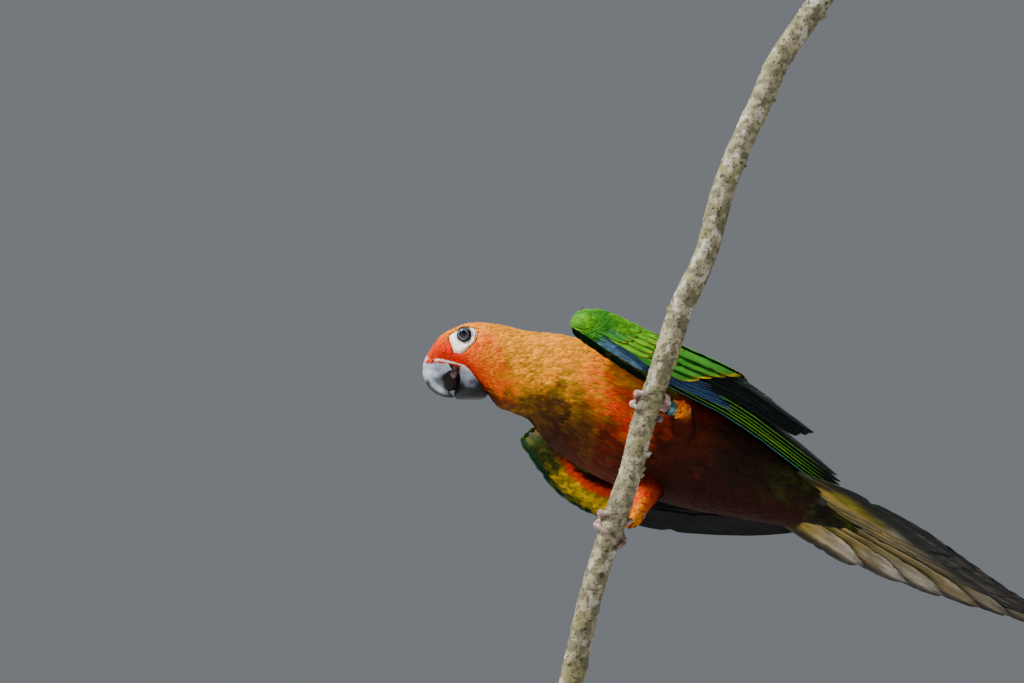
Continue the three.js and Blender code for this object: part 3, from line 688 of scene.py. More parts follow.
def body_paint(points, t, angle):
    """Colour of the coat at places on the trunk and head; angle is the turn from the back."""
    s = t * STATION_SPANS
    turn = np.degrees(np.abs((angle + math.pi) % TAU - math.pi))
    broad = noise(points, 9.0, 3)
    blotch = noise(points, 4.0, 5)
    drawn = noise(np.stack([s * 3.2, angle * 22, np.zeros_like(s)], -1), 1.0, 7)
    fine = noise(points, 1.4, 11)
    patchy = s + (blotch - 0.5) * 0.8
    base = layers(
        "flame",
        ("orange", step(s, 1.2, 2.6)),
        ("gold", step(s + (blotch - 0.5) * 1.4, 2.5, 4.2)),
        ("orange", step(s, 6.2, 7.2) * step(broad, 0.35, 0.6) * 0.8),
        ("scarlet", bump_at(s, 7.9, 1.1) * step(turn, 70, 110) * step(broad, 0.3, 0.55) * 0.85),
        ("flame", step(s, 7.8, 8.8) * 0.75),
        ("rust", step(s + (blotch - 0.5), 7.8, 8.4) * 0.8),
        # Maroon over the belly, then near-black towards the vent: painted shade
        ("maroon", step(patchy, 8.0, 8.8) * 0.85),
        ("shade", step(patchy, 8.6, 9.9) * 0.94),
        ("moss", step(s, 10.2, 11.6) * step(drawn, 0.4, 0.7) * 0.4),
        # Strongest red between bill and eye, golden rim over the crown, olive streaks on neck and throat
        ("scarlet", step(2.3 - s + (fine - 0.5) * 0.6, 0, 1.2) * step(turn, 25, 60) * 0.8),
        ("gold", step(s, 0.6, 2.2) * (1 - step(turn, 14, 50)) * 0.85),
        ("old gold", step(drawn, 0.55, 0.8) * step(s, 2.8, 4) * (1 - step(s, 7.5, 9)) * 0.65),
        ("olive", step(drawn, 0.62, 0.85) * bump_at(s, 5.2, 1.6) * 0.5))
    # Throat: painted shade streaked with old gold; lower breast: painted shade in maroon
    under = step(turn + (blotch - 0.5) * 30, 112, 142) * step(s, 0.6, 1.4) * (1 - step(s, 6.2, 8.0))
    streaked_shade = layers("shade", ("old gold", step(drawn, 0.5, 0.75) * 0.4))
    way = np.degrees(angle) % 360 + (blotch - 0.5) * 36
    low = step(way, 132, 166) * (1 - step(way, 262, 300)) * step(s, 4.6, 6.2)
    # Young bird's mantle: gold mottled with green, then green down the lower back
    rear = step(s, 8, 10)
    mantle = (1 - step(turn, mix(45, 28, rear), mix(85, 58, rear))) * step(s, 5.5, 7.5)
    mottle = step(blotch * 0.6 + drawn * 0.4 + (s - 7) * 0.06, 0.4, 0.62)
    base = layers(base, (streaked_shade, under * 0.88), ("maroon", low * 0.88), ("gold", mantle * 0.8),
                  ("leaf", mantle * mottle * 0.85))
    return base * (0.82 + 0.36 * fine)[..., None]


def wing_paint(along, across, points):
    """Colour of small coverts on the wing's outer side."""
    blotch = noise(points, 5.0, 21)
    reach = mix(1.0, 4.5, step(along, 4, 20))
    edge = (1 - step(across + (blotch - 0.5) * 2 - reach, 0, 2.2)) * step(along, 5, 12)
    return layers("leaf", ("lime", step(blotch, 0.4, 0.75) * 0.7),
                  ("fern", step(noise(points, 2.2, 23), 0.55, 0.8) * 0.6),
                  ("slate", edge * 0.9), ("blue", edge * step(along, 22, 50) * 0.7))


# Skin: trunk, head and thighs as one closed surface inside the coat
FACE_CAP = 0.03


def facing(angle, middle, width):
    """1 where an angle looks towards a middle angle, given in degrees, falling off to the sides."""
    gap = (np.degrees(angle) - middle + 180) % 360 - 180
    return np.exp(-(gap / width) ** 2)


def ruff(s, angle):
    """Loose coat beyond the plain chart: forehead tuft, full throat and the left flank beside the wing."""
    throat = 4.4 * bump_at(s, 2.2, 0.8) + 2.0 * bump_at(s, 3.7, 1.0) + 5.0 * bump_at(s, 0.4, 0.75)
    nape = 1.5 * bump_at(s, 4.8, 1.7) * facing(angle, 8, 45)
    brow = (1.7 * bump_at(s, -0.1, 0.4) - 1.3 * bump_at(s, 1.1, 0.5)) * facing(angle, 0, 45)
    flank = 4.6 * step(s, 9.2, 11.4) * facing(angle, 58, 42)
    return throat * facing(angle, 186, 48) - nape + brow + flank


def trunk(t, angle, grow):
    """The coat's chart, closed over the face with a shallow dome in front of the first station."""
    t, angle = np.broadcast_arrays(np.asarray(t, float), angle)
    cap = np.clip(-t / FACE_CAP, 0, 1)
    point = on_coat(np.maximum(t, 0), angle, grow + ruff(t * STATION_SPANS, angle))
    middle = SPINE.point(np.maximum(t, 0))
    shrink = round_off(cap)
    ahead = -SPINE.along(np.maximum(t, 0)) * (cap * (1.3 + 4.0 * facing(angle, 190, 40)))[..., None]
    return middle + (point - middle) * shrink[..., None] + ahead


THIGH_RADIUS = 11.5
SHANK_RADIUS = 3.6
THIGH_DEPTH = 1.2


def thigh_line(foot):
    hip, ankle = foot["hip"], foot["ankle"]
    end = mix(ankle, sole_of(foot), foot["sock"])
    knee = mix(hip, ankle, foot["knee"])
    shares = np.linspace(0, 1, 9)[:, None]
    return Curve((1 - shares) ** 2 * hip + 2 * shares * (1 - shares) * knee + shares ** 2 * end)


def thigh(foot, u, turn, grow):
    line = foot["line"]
    u, turn, grow = np.broadcast_arrays(np.asarray(u, float), turn, grow)
    share = line.share(u)
    along = line.along(share)
    front = unit(AHEAD - along * (along @ AHEAD)[..., None])
    side = np.cross(along, front)
    radius = (mix(THIGH_RADIUS, SHANK_RADIUS - 0.5, step(u, 0.05, 0.85)) + grow)[..., None]
    return line.point(share) + (front * np.cos(turn)[..., None] + side * np.sin(turn)[..., None]) * radius


for foot in FEET.values():
    foot["line"] = thigh_line(foot)

SPINE_SHARES = np.linspace(0, 1, 391)
SPINE_PLACES = SPINE.point(SPINE_SHARES)
SEARCH_CHUNK = 4000


def trunk_place(points):
    """Share along the stations and turn from the back of the place nearest to each point."""
    t = np.empty(len(points))
    for start in range(0, len(points), SEARCH_CHUNK):
        part = points[start:start + SEARCH_CHUNK]
        gap = np.linalg.norm(part[:, None, :] - SPINE_PLACES[None], axis=-1)
        t[start:start + SEARCH_CHUNK] = SPINE_SHARES[np.argmin(gap, axis=1)]
    up = unit(UPS.point(t))
    side = unit(np.cross(SPINE.along(t), up))
    away = points - SPINE.point(t)
    return t, np.arctan2((away * side).sum(-1), (away * up).sum(-1))


def thigh_paint(points, u):
    drawn = noise(points, 2.0, 31)
    base = layers("flame", ("gold", step(u + (drawn - 0.5) * 0.5, 0.45, 0.95)))
    return base * (0.8 + 0.4 * noise(points, 1.2, 33))[..., None]


def downy_skin():
    """Bird skin under the coat: down and skin in the coat's own colours, pores about 1.2 mm apart."""
    material, tree = new_material("downy_skin")
    down = cloud_on(tree, place_on(tree), 850.0, 3.0)
    colour = scaled(tree, painted(tree), mapped(tree, down, 0.75, 1.2))
    surface(tree, colour, mapped(tree, down, 0.6, 0.95, 0, 1),
            height=down, strength=0.6, depth_mm=0.3)
    return material


DOWNY_SKIN = downy_skin()


def build_skin():
    bm = rolled(lambda t, turn: trunk(mix(-FACE_CAP, 1, t), turn, -COAT_DEPTH), 120, 72)
    for foot in FEET.values():
        take_in(bm, rolled(lambda u, turn: thigh(foot, u, turn, -THIGH_DEPTH + 0.5 * u), 24, 24))
    mesh = one_skin(bm, "skin", 0.9, 6)
    points = pose_points(mesh)
    colours = body_paint(points, *trunk_place(points)) * 0.62
    for foot in FEET.values():
        shares = np.linspace(0.15, 1, 60)
        line = foot["line"].at(shares)
        gap = np.linalg.norm(points[:, None, :] - line[None], axis=-1)
        u = shares[np.argmin(gap, axis=1)]
        near = 1 - step(gap.min(axis=1) - mix(THIGH_RADIUS, SHANK_RADIUS, step(u, 0.1, 1)), 0, 1.5)
        colours = blend(colours, thigh_paint(points, u) * 0.7, near * step(u, 0.2, 0.5))
    set_tint(mesh, colours)
    skin = finish_piece(mesh, "skin", DOWNY_SKIN)
    settle(skin, "plumage", "head", "neck", "torso", "thigh_left", "thigh_right")


build_skin()


# Bare skin round the eye, a drop with its point down and ahead
def bare_reach(x, y):
    turn = np.arctan2(y, x)
    crown = 0.6 * facing(turn, 38, 20) - 2.6 * facing(turn, 92, 36) - 1.5 * facing(turn, 138, 22)
    return 5.4 + 3.5 * facing(turn, -108, 25) + crown + 0.9 * facing(turn, 185, 36)


def in_bare_patch(points, margin):
    x = points[..., 0] - EYE_PLACE[0] + 0.5
    y = points[..., 1] - EYE_PLACE[1] + 0.1
    return (np.hypot(x, y) < bare_reach(x, y) + margin) & (np.abs(points[..., 2]) > 3)


# Feathers of head and body, set in rows across the lie of the coat
SHORT_WAY = 0.004


def body_rows(first, last, seed, size_at, gap_along, gap_across):
    """Roots in rows from one station to another, with jitter; returns share, turn and size."""
    rng = np.random.default_rng(seed)
    beside = np.array([1.6])
    shares, turns, sizes = [], [], []
    t = first / STATION_SPANS
    while t < last / STATION_SPANS:
        length, width = size_at(t * STATION_SPANS)
        ring = trunk(np.full(40, t), np.linspace(0, TAU, 40), 0)
        girth = np.linalg.norm(np.diff(ring, axis=0), axis=1).sum()
        count = max(6, int(girth / (width * gap_across)))
        phase = rng.random()
        turn = (np.arange(count) + phase + 0.5 * (rng.random(count) - 0.5)) / count * TAU
        ahead = trunk(np.array([t + SHORT_WAY]), beside, 0) - trunk(np.array([t]), beside, 0)
        stride = length * gap_along / max(np.linalg.norm(ahead) / SHORT_WAY, 60)
        shares.append(t + stride * 0.7 * (rng.random(count) - 0.5))
        turns.append(turn)
        sizes.append(np.full((count, 2), (length, width)) * (0.85 + 0.3 * rng.random((count, 1))))
        t += stride
    return np.concatenate(shares), np.concatenate(turns), np.vstack(sizes)


def feather_body(name, first, last, seed, size_at, gap_along, gap_across, locks, lift):
    rng = np.random.default_rng(seed + 1)
    t, turn, size = body_rows(first, last, seed, size_at, gap_along, gap_across)
    root = trunk(t, turn, -COAT_DEPTH * 0.9)
    top = trunk(t, turn, 0)
    pace = np.linalg.norm(trunk(t + SHORT_WAY, turn, 0) - top, axis=-1) / SHORT_WAY
    span = size[:, 0] / np.maximum(pace, 40)
    # No root lies on the bare skin round the eye, and a blade's tip reaches at most 0.4 mm into it
    free = ~in_bare_patch(top, 0.1)
    for share, margin in ((0.3, 0.3), (0.6, 0.2), (1, -0.4)):
        free &= ~in_bare_patch(trunk(np.minimum(t + span * share, 1), turn, 0), margin)
    t, turn, size, root, top, span = (x[free] for x in (t, turn, size, root, top, span))
    swing = 0.10 * (rng.random(len(t)) - 0.5)
    ruffle = rng.random(len(t))
    middle = trunk(np.minimum(t + span * 0.5, 1), turn + swing * 0.5, -0.55 + 0.25 * ruffle)
    tip = trunk(np.minimum(t + span, 1), turn + swing, -0.55 + lift * ruffle)
    side = trunk(t, turn + 0.03, 0) - top
    back = trunk(t + SHORT_WAY, turn, 0) - top
    normal = unit(np.cross(back, side))
    normal = normal * np.sign((normal * (top - SPINE.point(np.maximum(t, 0)))).sum(-1))[:, None]
    colours = body_paint(tip, t, turn) * (0.76 + 0.44 * rng.random((len(t), 1)))
    spots = bake_spot(np.clip(t, 0, 1), turn / TAU % 1, 0.03)
    batch = Batch()
    plant(batch, (root, middle, tip), normal, size[:, 1], colours, spots, seed + 2, locks)
    settle(batch.build(name, CONTOUR), "plumage")


def sizes_between(first, last, lengths, widths):
    """Length and width of feathers, growing from one station to another."""
    return lambda s: (mix(*lengths, step(s, first, last)), mix(*widths, step(s, first, last)))


HEAD_SIZE = sizes_between(0.5, 4, (3.2, 5.6), (1.2, 2.0))
BREAST_SIZE = sizes_between(4, 8, (5.6, 9.5), (2.0, 3.8))
BELLY_SIZE = sizes_between(8, 11, (8.5, 9.5), (4.2, 4.6))

# Name, first and last station, seed, sizes, gaps along and across, locks at the tip, and lift
feather_body("coat_face", -0.26, 2, 101, HEAD_SIZE, 0.24, 0.5, 4, 0.3)
feather_body("coat_crown", 2, 4, 111, HEAD_SIZE, 0.2, 0.5, 5, 0.4)
feather_body("coat_neck", 4, 6.2, 121, BREAST_SIZE, 0.2, 0.48, 6, 0.65)
feather_body("coat_breast", 6.2, 8.6, 131, BREAST_SIZE, 0.185, 0.4, 6, 0.9)
feather_body("coat_belly", 8.6, 12.2, 141, BELLY_SIZE, 0.2, 0.42, 6, 0.8)


def coat_fringe():
    """Fine small feathers that lie forward over the base of the bill."""
    rng = np.random.default_rng(171)
    count = 420
    turn = np.radians(rng.normal(0, 15, count))
    t = -FACE_CAP * rng.random(count) * 0.85
    top = trunk(t, turn, 0)
    ahead = -SPINE.along(np.zeros(count))
    out = unit(top - SPINE.point(np.zeros(count)))
    long = (1.5 + 4.5 * facing(turn, 0, 25)) * (0.5 + 0.7 * rng.random(count))
    lie = unit(ahead - out * (0.8 + 0.4 * rng.random(count))[:, None])
    root = top - ahead * 4 - out * 0.2
    tip = top + lie * long[:, None]
    colours = body_paint(tip, np.zeros(count), turn) * (0.8 + 0.4 * rng.random((count, 1)))
    spots = np.stack([np.full(count, 0.02), 0.03 + 0.94 * turn / TAU], -1)
    batch = Batch()
    line = (root, mix(root, tip, 0.5) + out * 1.2, tip)
    plant(batch, line, out, np.full(count, 1.2), colours, spots, 173, locks=3)
    settle(batch.build("coat_fringe", CONTOUR), "plumage")


coat_fringe()


# Coats of the thighs
def feather_thigh(name, foot, seed):
    rng = np.random.default_rng(seed)
    length = foot["line"].length
    shares, turns = [], []
    u = 0.1
    while u < 0.97:
        radius = mix(THIGH_RADIUS, SHANK_RADIUS, float(step(u, 0.1, 1)))
        count = max(7, int(TAU * radius / 1.5))
        turns.append((np.arange(count) + rng.random() + 0.5 * rng.random(count)) / count * TAU)
        shares.append(np.full(count, u) + 0.01 * (rng.random(count) - 0.5))
        u += 1.35 / length
    u, turn = np.concatenate(shares), np.concatenate(turns)
    span = mix(6.0, 4.4, u) / length
    ruffle = rng.random(len(u))
    root = thigh(foot, u, turn, -THIGH_DEPTH)
    middle = thigh(foot, np.minimum(u + span / 2, 1.0), turn, -0.1 + 0.3 * ruffle)
    # Tips may reach past the end of the thigh, straight on
    over = np.maximum(u + span - 1.0, 0) * length
    tip = thigh(foot, np.minimum(u + span, 1.0), turn, 0.6 * ruffle)
    tip = tip + foot["line"].along(np.array(1.0)) * over[:, None]
    normal = unit(root - foot["line"].at(u))
    bright = step(u, foot["bright"], foot["bright"] + 0.3)
    colours = blend(body_paint(tip, *trunk_place(tip)), thigh_paint(tip, u), bright)
    colours = colours * (0.85 + 0.3 * rng.random((len(u), 1)))
    batch = Batch()
    spots = bake_spot(u, turn / TAU % 1, 0.03)
    plant(batch, (root, middle, tip), normal, mix(3.4, 2.2, u), colours, spots, seed + 2)
    settle(batch.build(name, CONTOUR), "plumage")


feather_thigh("coat_thigh_left", FEET["left"], 201)
feather_thigh("coat_thigh_right", FEET["right"], 211)


# Long feathers: closed vanes with a raised shaft, split barbs and a worn edge
def vane_faces(rows, columns):
    wide = columns + 1
    layer = (rows + 1) * wide
    faces = []
    for r in range(rows):
        for k in range(columns):
            a = r * wide + k
            b = a + wide
            faces += [(a, a + 1, b + 1), (a, b + 1, b)]
            faces += [(layer + a, layer + b + 1, layer + a + 1), (layer + a, layer + b, layer + b + 1)]
    rim = [(k + 1, k) for k in range(columns)] + [(r * wide, (r + 1) * wide) for r in range(rows)]
    rim += [(rows * wide + k, rows * wide + k + 1) for k in range(columns)]
    rim += [((r + 1) * wide - 1, r * wide - 1) for r in range(rows, 0, -1)]
    for a, b in rim:
        faces += [(a, b, layer + a), (b, layer + b, layer + a)]
    return np.array(faces)


def vane_cloud(u, v, seed, kind):
    """Uneven field over one long feather, its own for each seed."""
    return noise(np.stack([u, v, np.full_like(u, seed)], -1), 1.0, kind)


def vane(batch, chart, paint, seed, root, tip, level, tip_level, width, blunt, tilt=0.0, shaft=0.0,
         wear=0.0, rows=36, columns=12):
    """One long feather on a chart: root and tip are places along and across it."""
    rng = np.random.default_rng(seed)
    u, v = np.meshgrid(np.linspace(-1, 1, columns + 1), np.linspace(0, 1, rows + 1))
    spread = mix(0.5, 1, step(v, 0, 0.35)) * np.sqrt(np.maximum(0, 1 - v ** 7 * (1 - blunt * blunt)))
    for _ in range(3):
        side = 1 if rng.random() < 0.5 else -1
        notch = bump_at(v, 0.35 + 0.6 * rng.random(), 0.012 + 0.012 * rng.random())
        spread = spread * (1 - (0.10 + 0.16 * rng.random()) * notch * (u * side > 0.3))
    ragged = vane_cloud(v * 40, np.sign(u), seed, 41) * (np.abs(u) > 0.9)
    spread = spread * (1 - (0.03 + 0.2 * wear * step(v, 0.6, 1)) * ragged)
    out = u * width * 0.5 * spread
    back = u * u * width * 0.3 * step(v, 0.7, 1)
    back = back + wear * width * 0.45 * vane_cloud(u * 6, v * 0, seed, 43) * step(v, 0.86, 1)
    along = mix(root[0], tip[0], v) - back
    across = mix(root[1], tip[1], v) + out * math.cos(tilt)
    height = mix(level, tip_level, v) - out * math.sin(tilt) + 0.35 * (1 - u * u)
    height = height + 0.024 * (vane_cloud(v * 9, u * 1.5, seed, 47) - 0.5) * width
    quill = 0.28 * bump_at(u, shaft, 0.09) * (1 - 0.7 * v)
    upper = chart(along, across, height + quill)
    lower = chart(along, across, height - mix(0.34, 0.16, v) - quill)
    tints = [paint(u - shaft, v, under, seed) for under in (False, True)]
    vanes = np.stack([u * width / 100 + 0.5, v * (tip[0] - root[0]) / 100 + seed % 17], -1).reshape(-1, 2)
    spot = np.array([0.03 + 0.9 * (root[0] + 10) / 170, 0.03 + 0.9 * (root[1] + 20) / 70])
    patch = (spot + np.stack([u, v - 0.5], -1) * PATCH_SIZE).reshape(-1, 2)
    batch.gather(np.vstack([upper.reshape(-1, 3), lower.reshape(-1, 3)]), vane_faces(rows, columns),
                 np.vstack([tint.reshape(-1, 3) for tint in tints]), np.vstack([vanes] * 2),
                 np.vstack([patch, patch + 0.004]))


def banded(outer, inner, rim, rim_from, tip_from):
    """Painting of a flight feather: outer web, inner web, black tip, rim, and a plain underside."""
    def paint(u, v, below, seed):
        mottle = vane_cloud(u * 3, v * 7, seed, 51)
        if below:
            base = layers("ink", ("slate", step(v + (mottle - 0.5) * 0.3, 0.3, 1) * 0.6))
            return base * (0.4 + 0.4 * mottle)[..., None]
        edge = np.maximum(step(-u, rim_from, rim_from + 0.15), step(u, rim_from + 0.1, 1))
        base = layers(outer, (inner, step(u, -0.18, 0.02)), ("ink", bump_at(u, 0.0, 0.1) * 0.85),
                      ("ink", step(v + (mottle - 0.5) * 0.2, tip_from, 1.0)), (rim, edge * 0.9))
        return base * (0.8 + 0.4 * mottle)[..., None]
    return paint


def edged(edge, edge_to):
    """Painting of a flight feather seen as stripes: a bright leading edge, then a black vane."""
    def paint(u, v, below, seed):
        mottle = vane_cloud(u * 3, v * 7, seed, 51)
        if below:
            return layers("ink", ("soot", step(v, 0.2, 1) * 0.5)) * (0.35 + 0.5 * mottle)[..., None]
        bright = 1 - step(u, edge_to - 0.05, edge_to + 0.05)
        bright = bright * (1 - step(v + (mottle - 0.5) * 0.2, 0.75, 1) * 0.85)
        base = layers("ink", (edge, bright), ("bottle", (1 - bright) * step(mottle, 0.5, 0.9) * 0.6))
        return base * (0.8 + 0.4 * mottle)[..., None]
    return paint


def tipped(body, rim, strength):
    """Painting of a covert: one colour with a pale fringe round its tip; its underside is that colour at
    0.15, painted shade.
    """
    def paint(u, v, below, seed):
        fringe = strength * (0.35 + 0.65 * ((seed * 0.37) % 1))
        mottle = vane_cloud(u * 3, v * 5, seed, 53)
        base = layers(body, ("fern", step(mottle, 0.4, 0.8) * 0.5), ("bottle", bump_at(u, 0.0, 0.08) * 0.7),
                      (rim, step(v + 0.1 * u * u, 0.93, 1.0) * fringe),
                      (rim, step(np.abs(u) + 0.1 * v, 0.93, 1.0) * step(v, 0.6, 0.9) * fringe * 0.6))
        # The underside is the top's colour at 0.15: painted shade
        return base * (0.8 + 0.4 * mottle)[..., None] * (0.15 if below else 1.0)
    return paint


# Tiers of a folded wing, each from its feather nearest the leading edge to the one nearest the back:
# three tiers of flight feathers, the greater primary coverts, then four rows of coverts
TIERS = [
    {"count": 6, "root": [(30, 2.0), (20, 11)], "tip": [(156, -1.2), (146, 7.5)], "level": (-1.6, 0.4),
     "tip_level": (-2.4, -0.4), "width": (10, 13), "tilt": 0.4, "blunt": 0.3,
     "paints": [edged("teal", -0.66), edged("lime", -0.66), edged("lime", -0.62), edged("lime", -0.7)]},
    {"count": 9, "root": [(14, 6), (44, 20)], "tip": [(118, 12), (127, 19)], "level": (3.0, 3.6),
     "tip_level": (0.8, 2.8), "width": (12.5, 13), "tilt": 0.36, "blunt": 0.4,
     "paints": [edged("fern", -0.86)]},
    {"count": 5, "root": [(40, 24), (24, 30)], "tip": [(104, 23), (92, 27)], "level": (3.4, 3.8),
     "tip_level": (3.0, 3.4), "width": (14, 15), "tilt": 0.2, "blunt": 0.5,
     "paints": [banded("fern", "bottle", "brown", 0.8, 0.45)]},
    {"count": 8, "root": [(20, -0.5), (26, 5)], "tip": [(84, 1.5), (71, 8)], "level": (0.6, 2.6),
     "tip_level": (0.6, 2.8), "width": (6.5, 8), "tilt": 0.5, "blunt": 0.4,
     "paints": [banded("blue", "ink", "slate", 0.5, 0.7)]},
    {"count": 6, "root": [(24, 4), (46, 32)], "tip": [(61, 6), (95, 31)], "level": (3.6, 4.0),
     "tip_level": (4.4, 4.5), "width": (15, 18), "tilt": 0.26, "blunt": 0.68,
     "paints": [tipped("leaf", "lemon", 0.9)]},
    {"count": 9, "root": [(16, 4), (30, 38)], "tip": [(46, 5), (63, 40)], "level": (3.8, 4.2),
     "tip_level": (4.8, 4.8), "width": (10, 12), "tilt": 0.22, "blunt": 0.62,
     "paints": [tipped("leaf", "lemon", 0.75)]},
    {"count": 11, "root": [(10, 3), (20, 40)], "tip": [(34, 4), (49, 41)], "level": (3.8, 4.2),
     "tip_level": (4.9, 5.0), "width": (7.5, 8.5), "tilt": 0.18, "blunt": 0.64,
     "paints": [tipped("lime", "gold", 0.6)]},
    {"count": 11, "root": [(4, 3), (10, 38)], "tip": [(24, 4), (36, 39)], "level": (3.6, 4.0),
     "tip_level": (4.8, 4.9), "width": (6.5, 7.5), "tilt": 0.16, "blunt": 0.64,
     "paints": [tipped("leaf", "old gold", 0.5)]},
]
FLIGHT_TIERS = 3
STIFF_TIERS = 4
# Where the sheets of small coverts start and end along the wing
UPPER_SHEET = (-4, 44)
UNDER_SHEET = (-2.5, 62)
# Places along and across the wing: the middle of the arm, and one where its paint is plain green
MID_ARM = (30, 12)
GREEN_SPOT = (15, 12)


def shoulder_reach(along):
    """How far the folded wing reaches from its leading edge over the back, rounded at the bend."""
    return mix(7.5, 39, step(along, -3, 34))


def round_start(t, share):
    """Height of a sheet that rises in a round front over the first share of its length."""
    return round_off(np.clip(1 - t / share, 0, 1))


def upper_sheet(chart, t, s, grow):
    """Outer side of the front of the wing: share along it, share from its leading edge inwards."""
    t, s, grow = np.broadcast_arrays(np.asarray(t, float), s, grow)
    along = mix(*UPPER_SHEET, t)
    bulge = np.sqrt(np.sin(math.pi * mix(0.04, 0.75, s)))
    level = 0.6 + (4.1 * round_start(t, 0.25) + grow) * bulge
    return chart(along, mix(-2.4, shoulder_reach(along), s), level)


def under_sheet(chart, t, s, grow):
    """Inner side of the wing in front of the bare quills."""
    t, s, grow = np.broadcast_arrays(np.asarray(t, float), s, grow)
    bulge = np.sqrt(np.sin(math.pi * mix(0.08, 0.9, s)))
    return chart(mix(*UNDER_SHEET, t), mix(-3.4, 17, s), 0.9 - (4.6 * round_start(t, 0.2) + grow) * bulge)


def arm(chart, t, angle):
    """Fleshy arm under its small coverts: share along it, turn round it."""
    t, angle = np.broadcast_arrays(np.asarray(t, float), angle)
    swell = round_off(2 * t - 1, 4, 0.03)
    across = mix(3, 17, step(t, 0, 0.8)) + (mix(6, 15, step(t, 0, 0.6)) * swell - 0.5) * np.cos(angle)
    return chart(mix(-3, 54, t), across, 0.6 + (3.6 * swell - 0.5) * np.sin(angle))


def scapular(wing, chart, t, angle, grow):
    """Bridge of coat from the back to the inside of the wing."""
    t, angle, grow = np.broadcast_arrays(np.asarray(t, float), angle, grow)
    outer = chart(25 + (19 + grow) * np.cos(angle), 20 + (11 + grow) * np.sin(angle), 0.5)
    inner = (SHOULDER + AHEAD * (-26 - (21 + grow) * np.cos(angle))[..., None]
             + DORSAL * (12 + (8 + grow) * np.sin(angle))[..., None] + LEFT * 6 * wing["side"])
    return mix(inner, outer, t[..., None])


def under_paint(along, across, points):
    """Underside of the wing: green leading strip, scaled yellow, orange and red, then dark: maroon and
    near-black painted shade towards the body and past the arm.
    """
    blotch = noise(points, 2.6, 61)
    patchy_across = across + blotch * 2
    patchy_along = along + (blotch - 0.5) * 8
    return layers(
        "bottle",
        ("lemon", step(patchy_across, -1.6, 0.6) * 0.85),
        ("olive", step(noise(points, 1.8, 63), 0.5, 0.62) * 0.75),
        ("flame", step(patchy_across, 5.2, 7)),
        ("maroon", step(patchy_across, 8.5, 10.5)),
        ("shade", step(across, 9.5, 13)),
        ("shade", step(patchy_along, 50, 62) * 0.9),
        ("bottle", (1 - step(patchy_along, 8, 18)) * 0.92))


def build_flight_feathers(name, chart, rng, seed):
    flight = Batch()
    for order, tier in enumerate(TIERS):
        stiff, long = order < STIFF_TIERS, order < FLIGHT_TIERS
        for i in range(tier["count"]):
            t = i / (tier["count"] - 1)
            jog = 1.6 * (rng.random(2) - 0.5) * (1 if stiff else 1.8)
            root = [mix(*ends, t) for ends in zip(*tier["root"])]
            tip = [mix(*ends, t) + shift for ends, shift in zip(zip(*tier["tip"]), jog * (1.0, 0.3))]
            if not stiff:
                root[1] = min(root[1], float(shoulder_reach(root[0])) - 1)
            paint = tier["paints"][min(i, len(tier["paints"]) - 1)]
            level, tip_level, width = (mix(*tier[key], t) for key in ("level", "tip_level", "width"))
            vane(flight, chart, paint, seed * 100 + order * 20 + i, root, tip, level, tip_level, width,
                 tier["blunt"], tier["tilt"], shaft=-0.2 if stiff else 0.0,
                 rows=36 if long else 20, columns=12 if long else 10)
    return flight.build(f"{name}_feathers", VANE)


def build_flesh(name, wing, chart):
    """Flesh of the arm and the shoulder's bridge: green above, maroon painted shade below."""
    bm = rolled(lambda t, turn: arm(chart, t, turn), 24, 28)
    take_in(bm, rolled(lambda t, turn: scapular(wing, chart, mix(0.3, 1, t), turn, -0.5), 10, 28))
    flesh = to_piece(bm, f"{name}_flesh", DOWNY_SKIN)
    points = pose_points(flesh.data)
    level = (points - chart(*MID_ARM, 0)) @ unit(chart(*MID_ARM, 8) - chart(*MID_ARM, 0))
    upper = wing_paint(*GREEN_SPOT, points)
    set_tint(flesh.data, layers("maroon", (upper, step(level, -2, 1))) * 0.6)
    return flesh


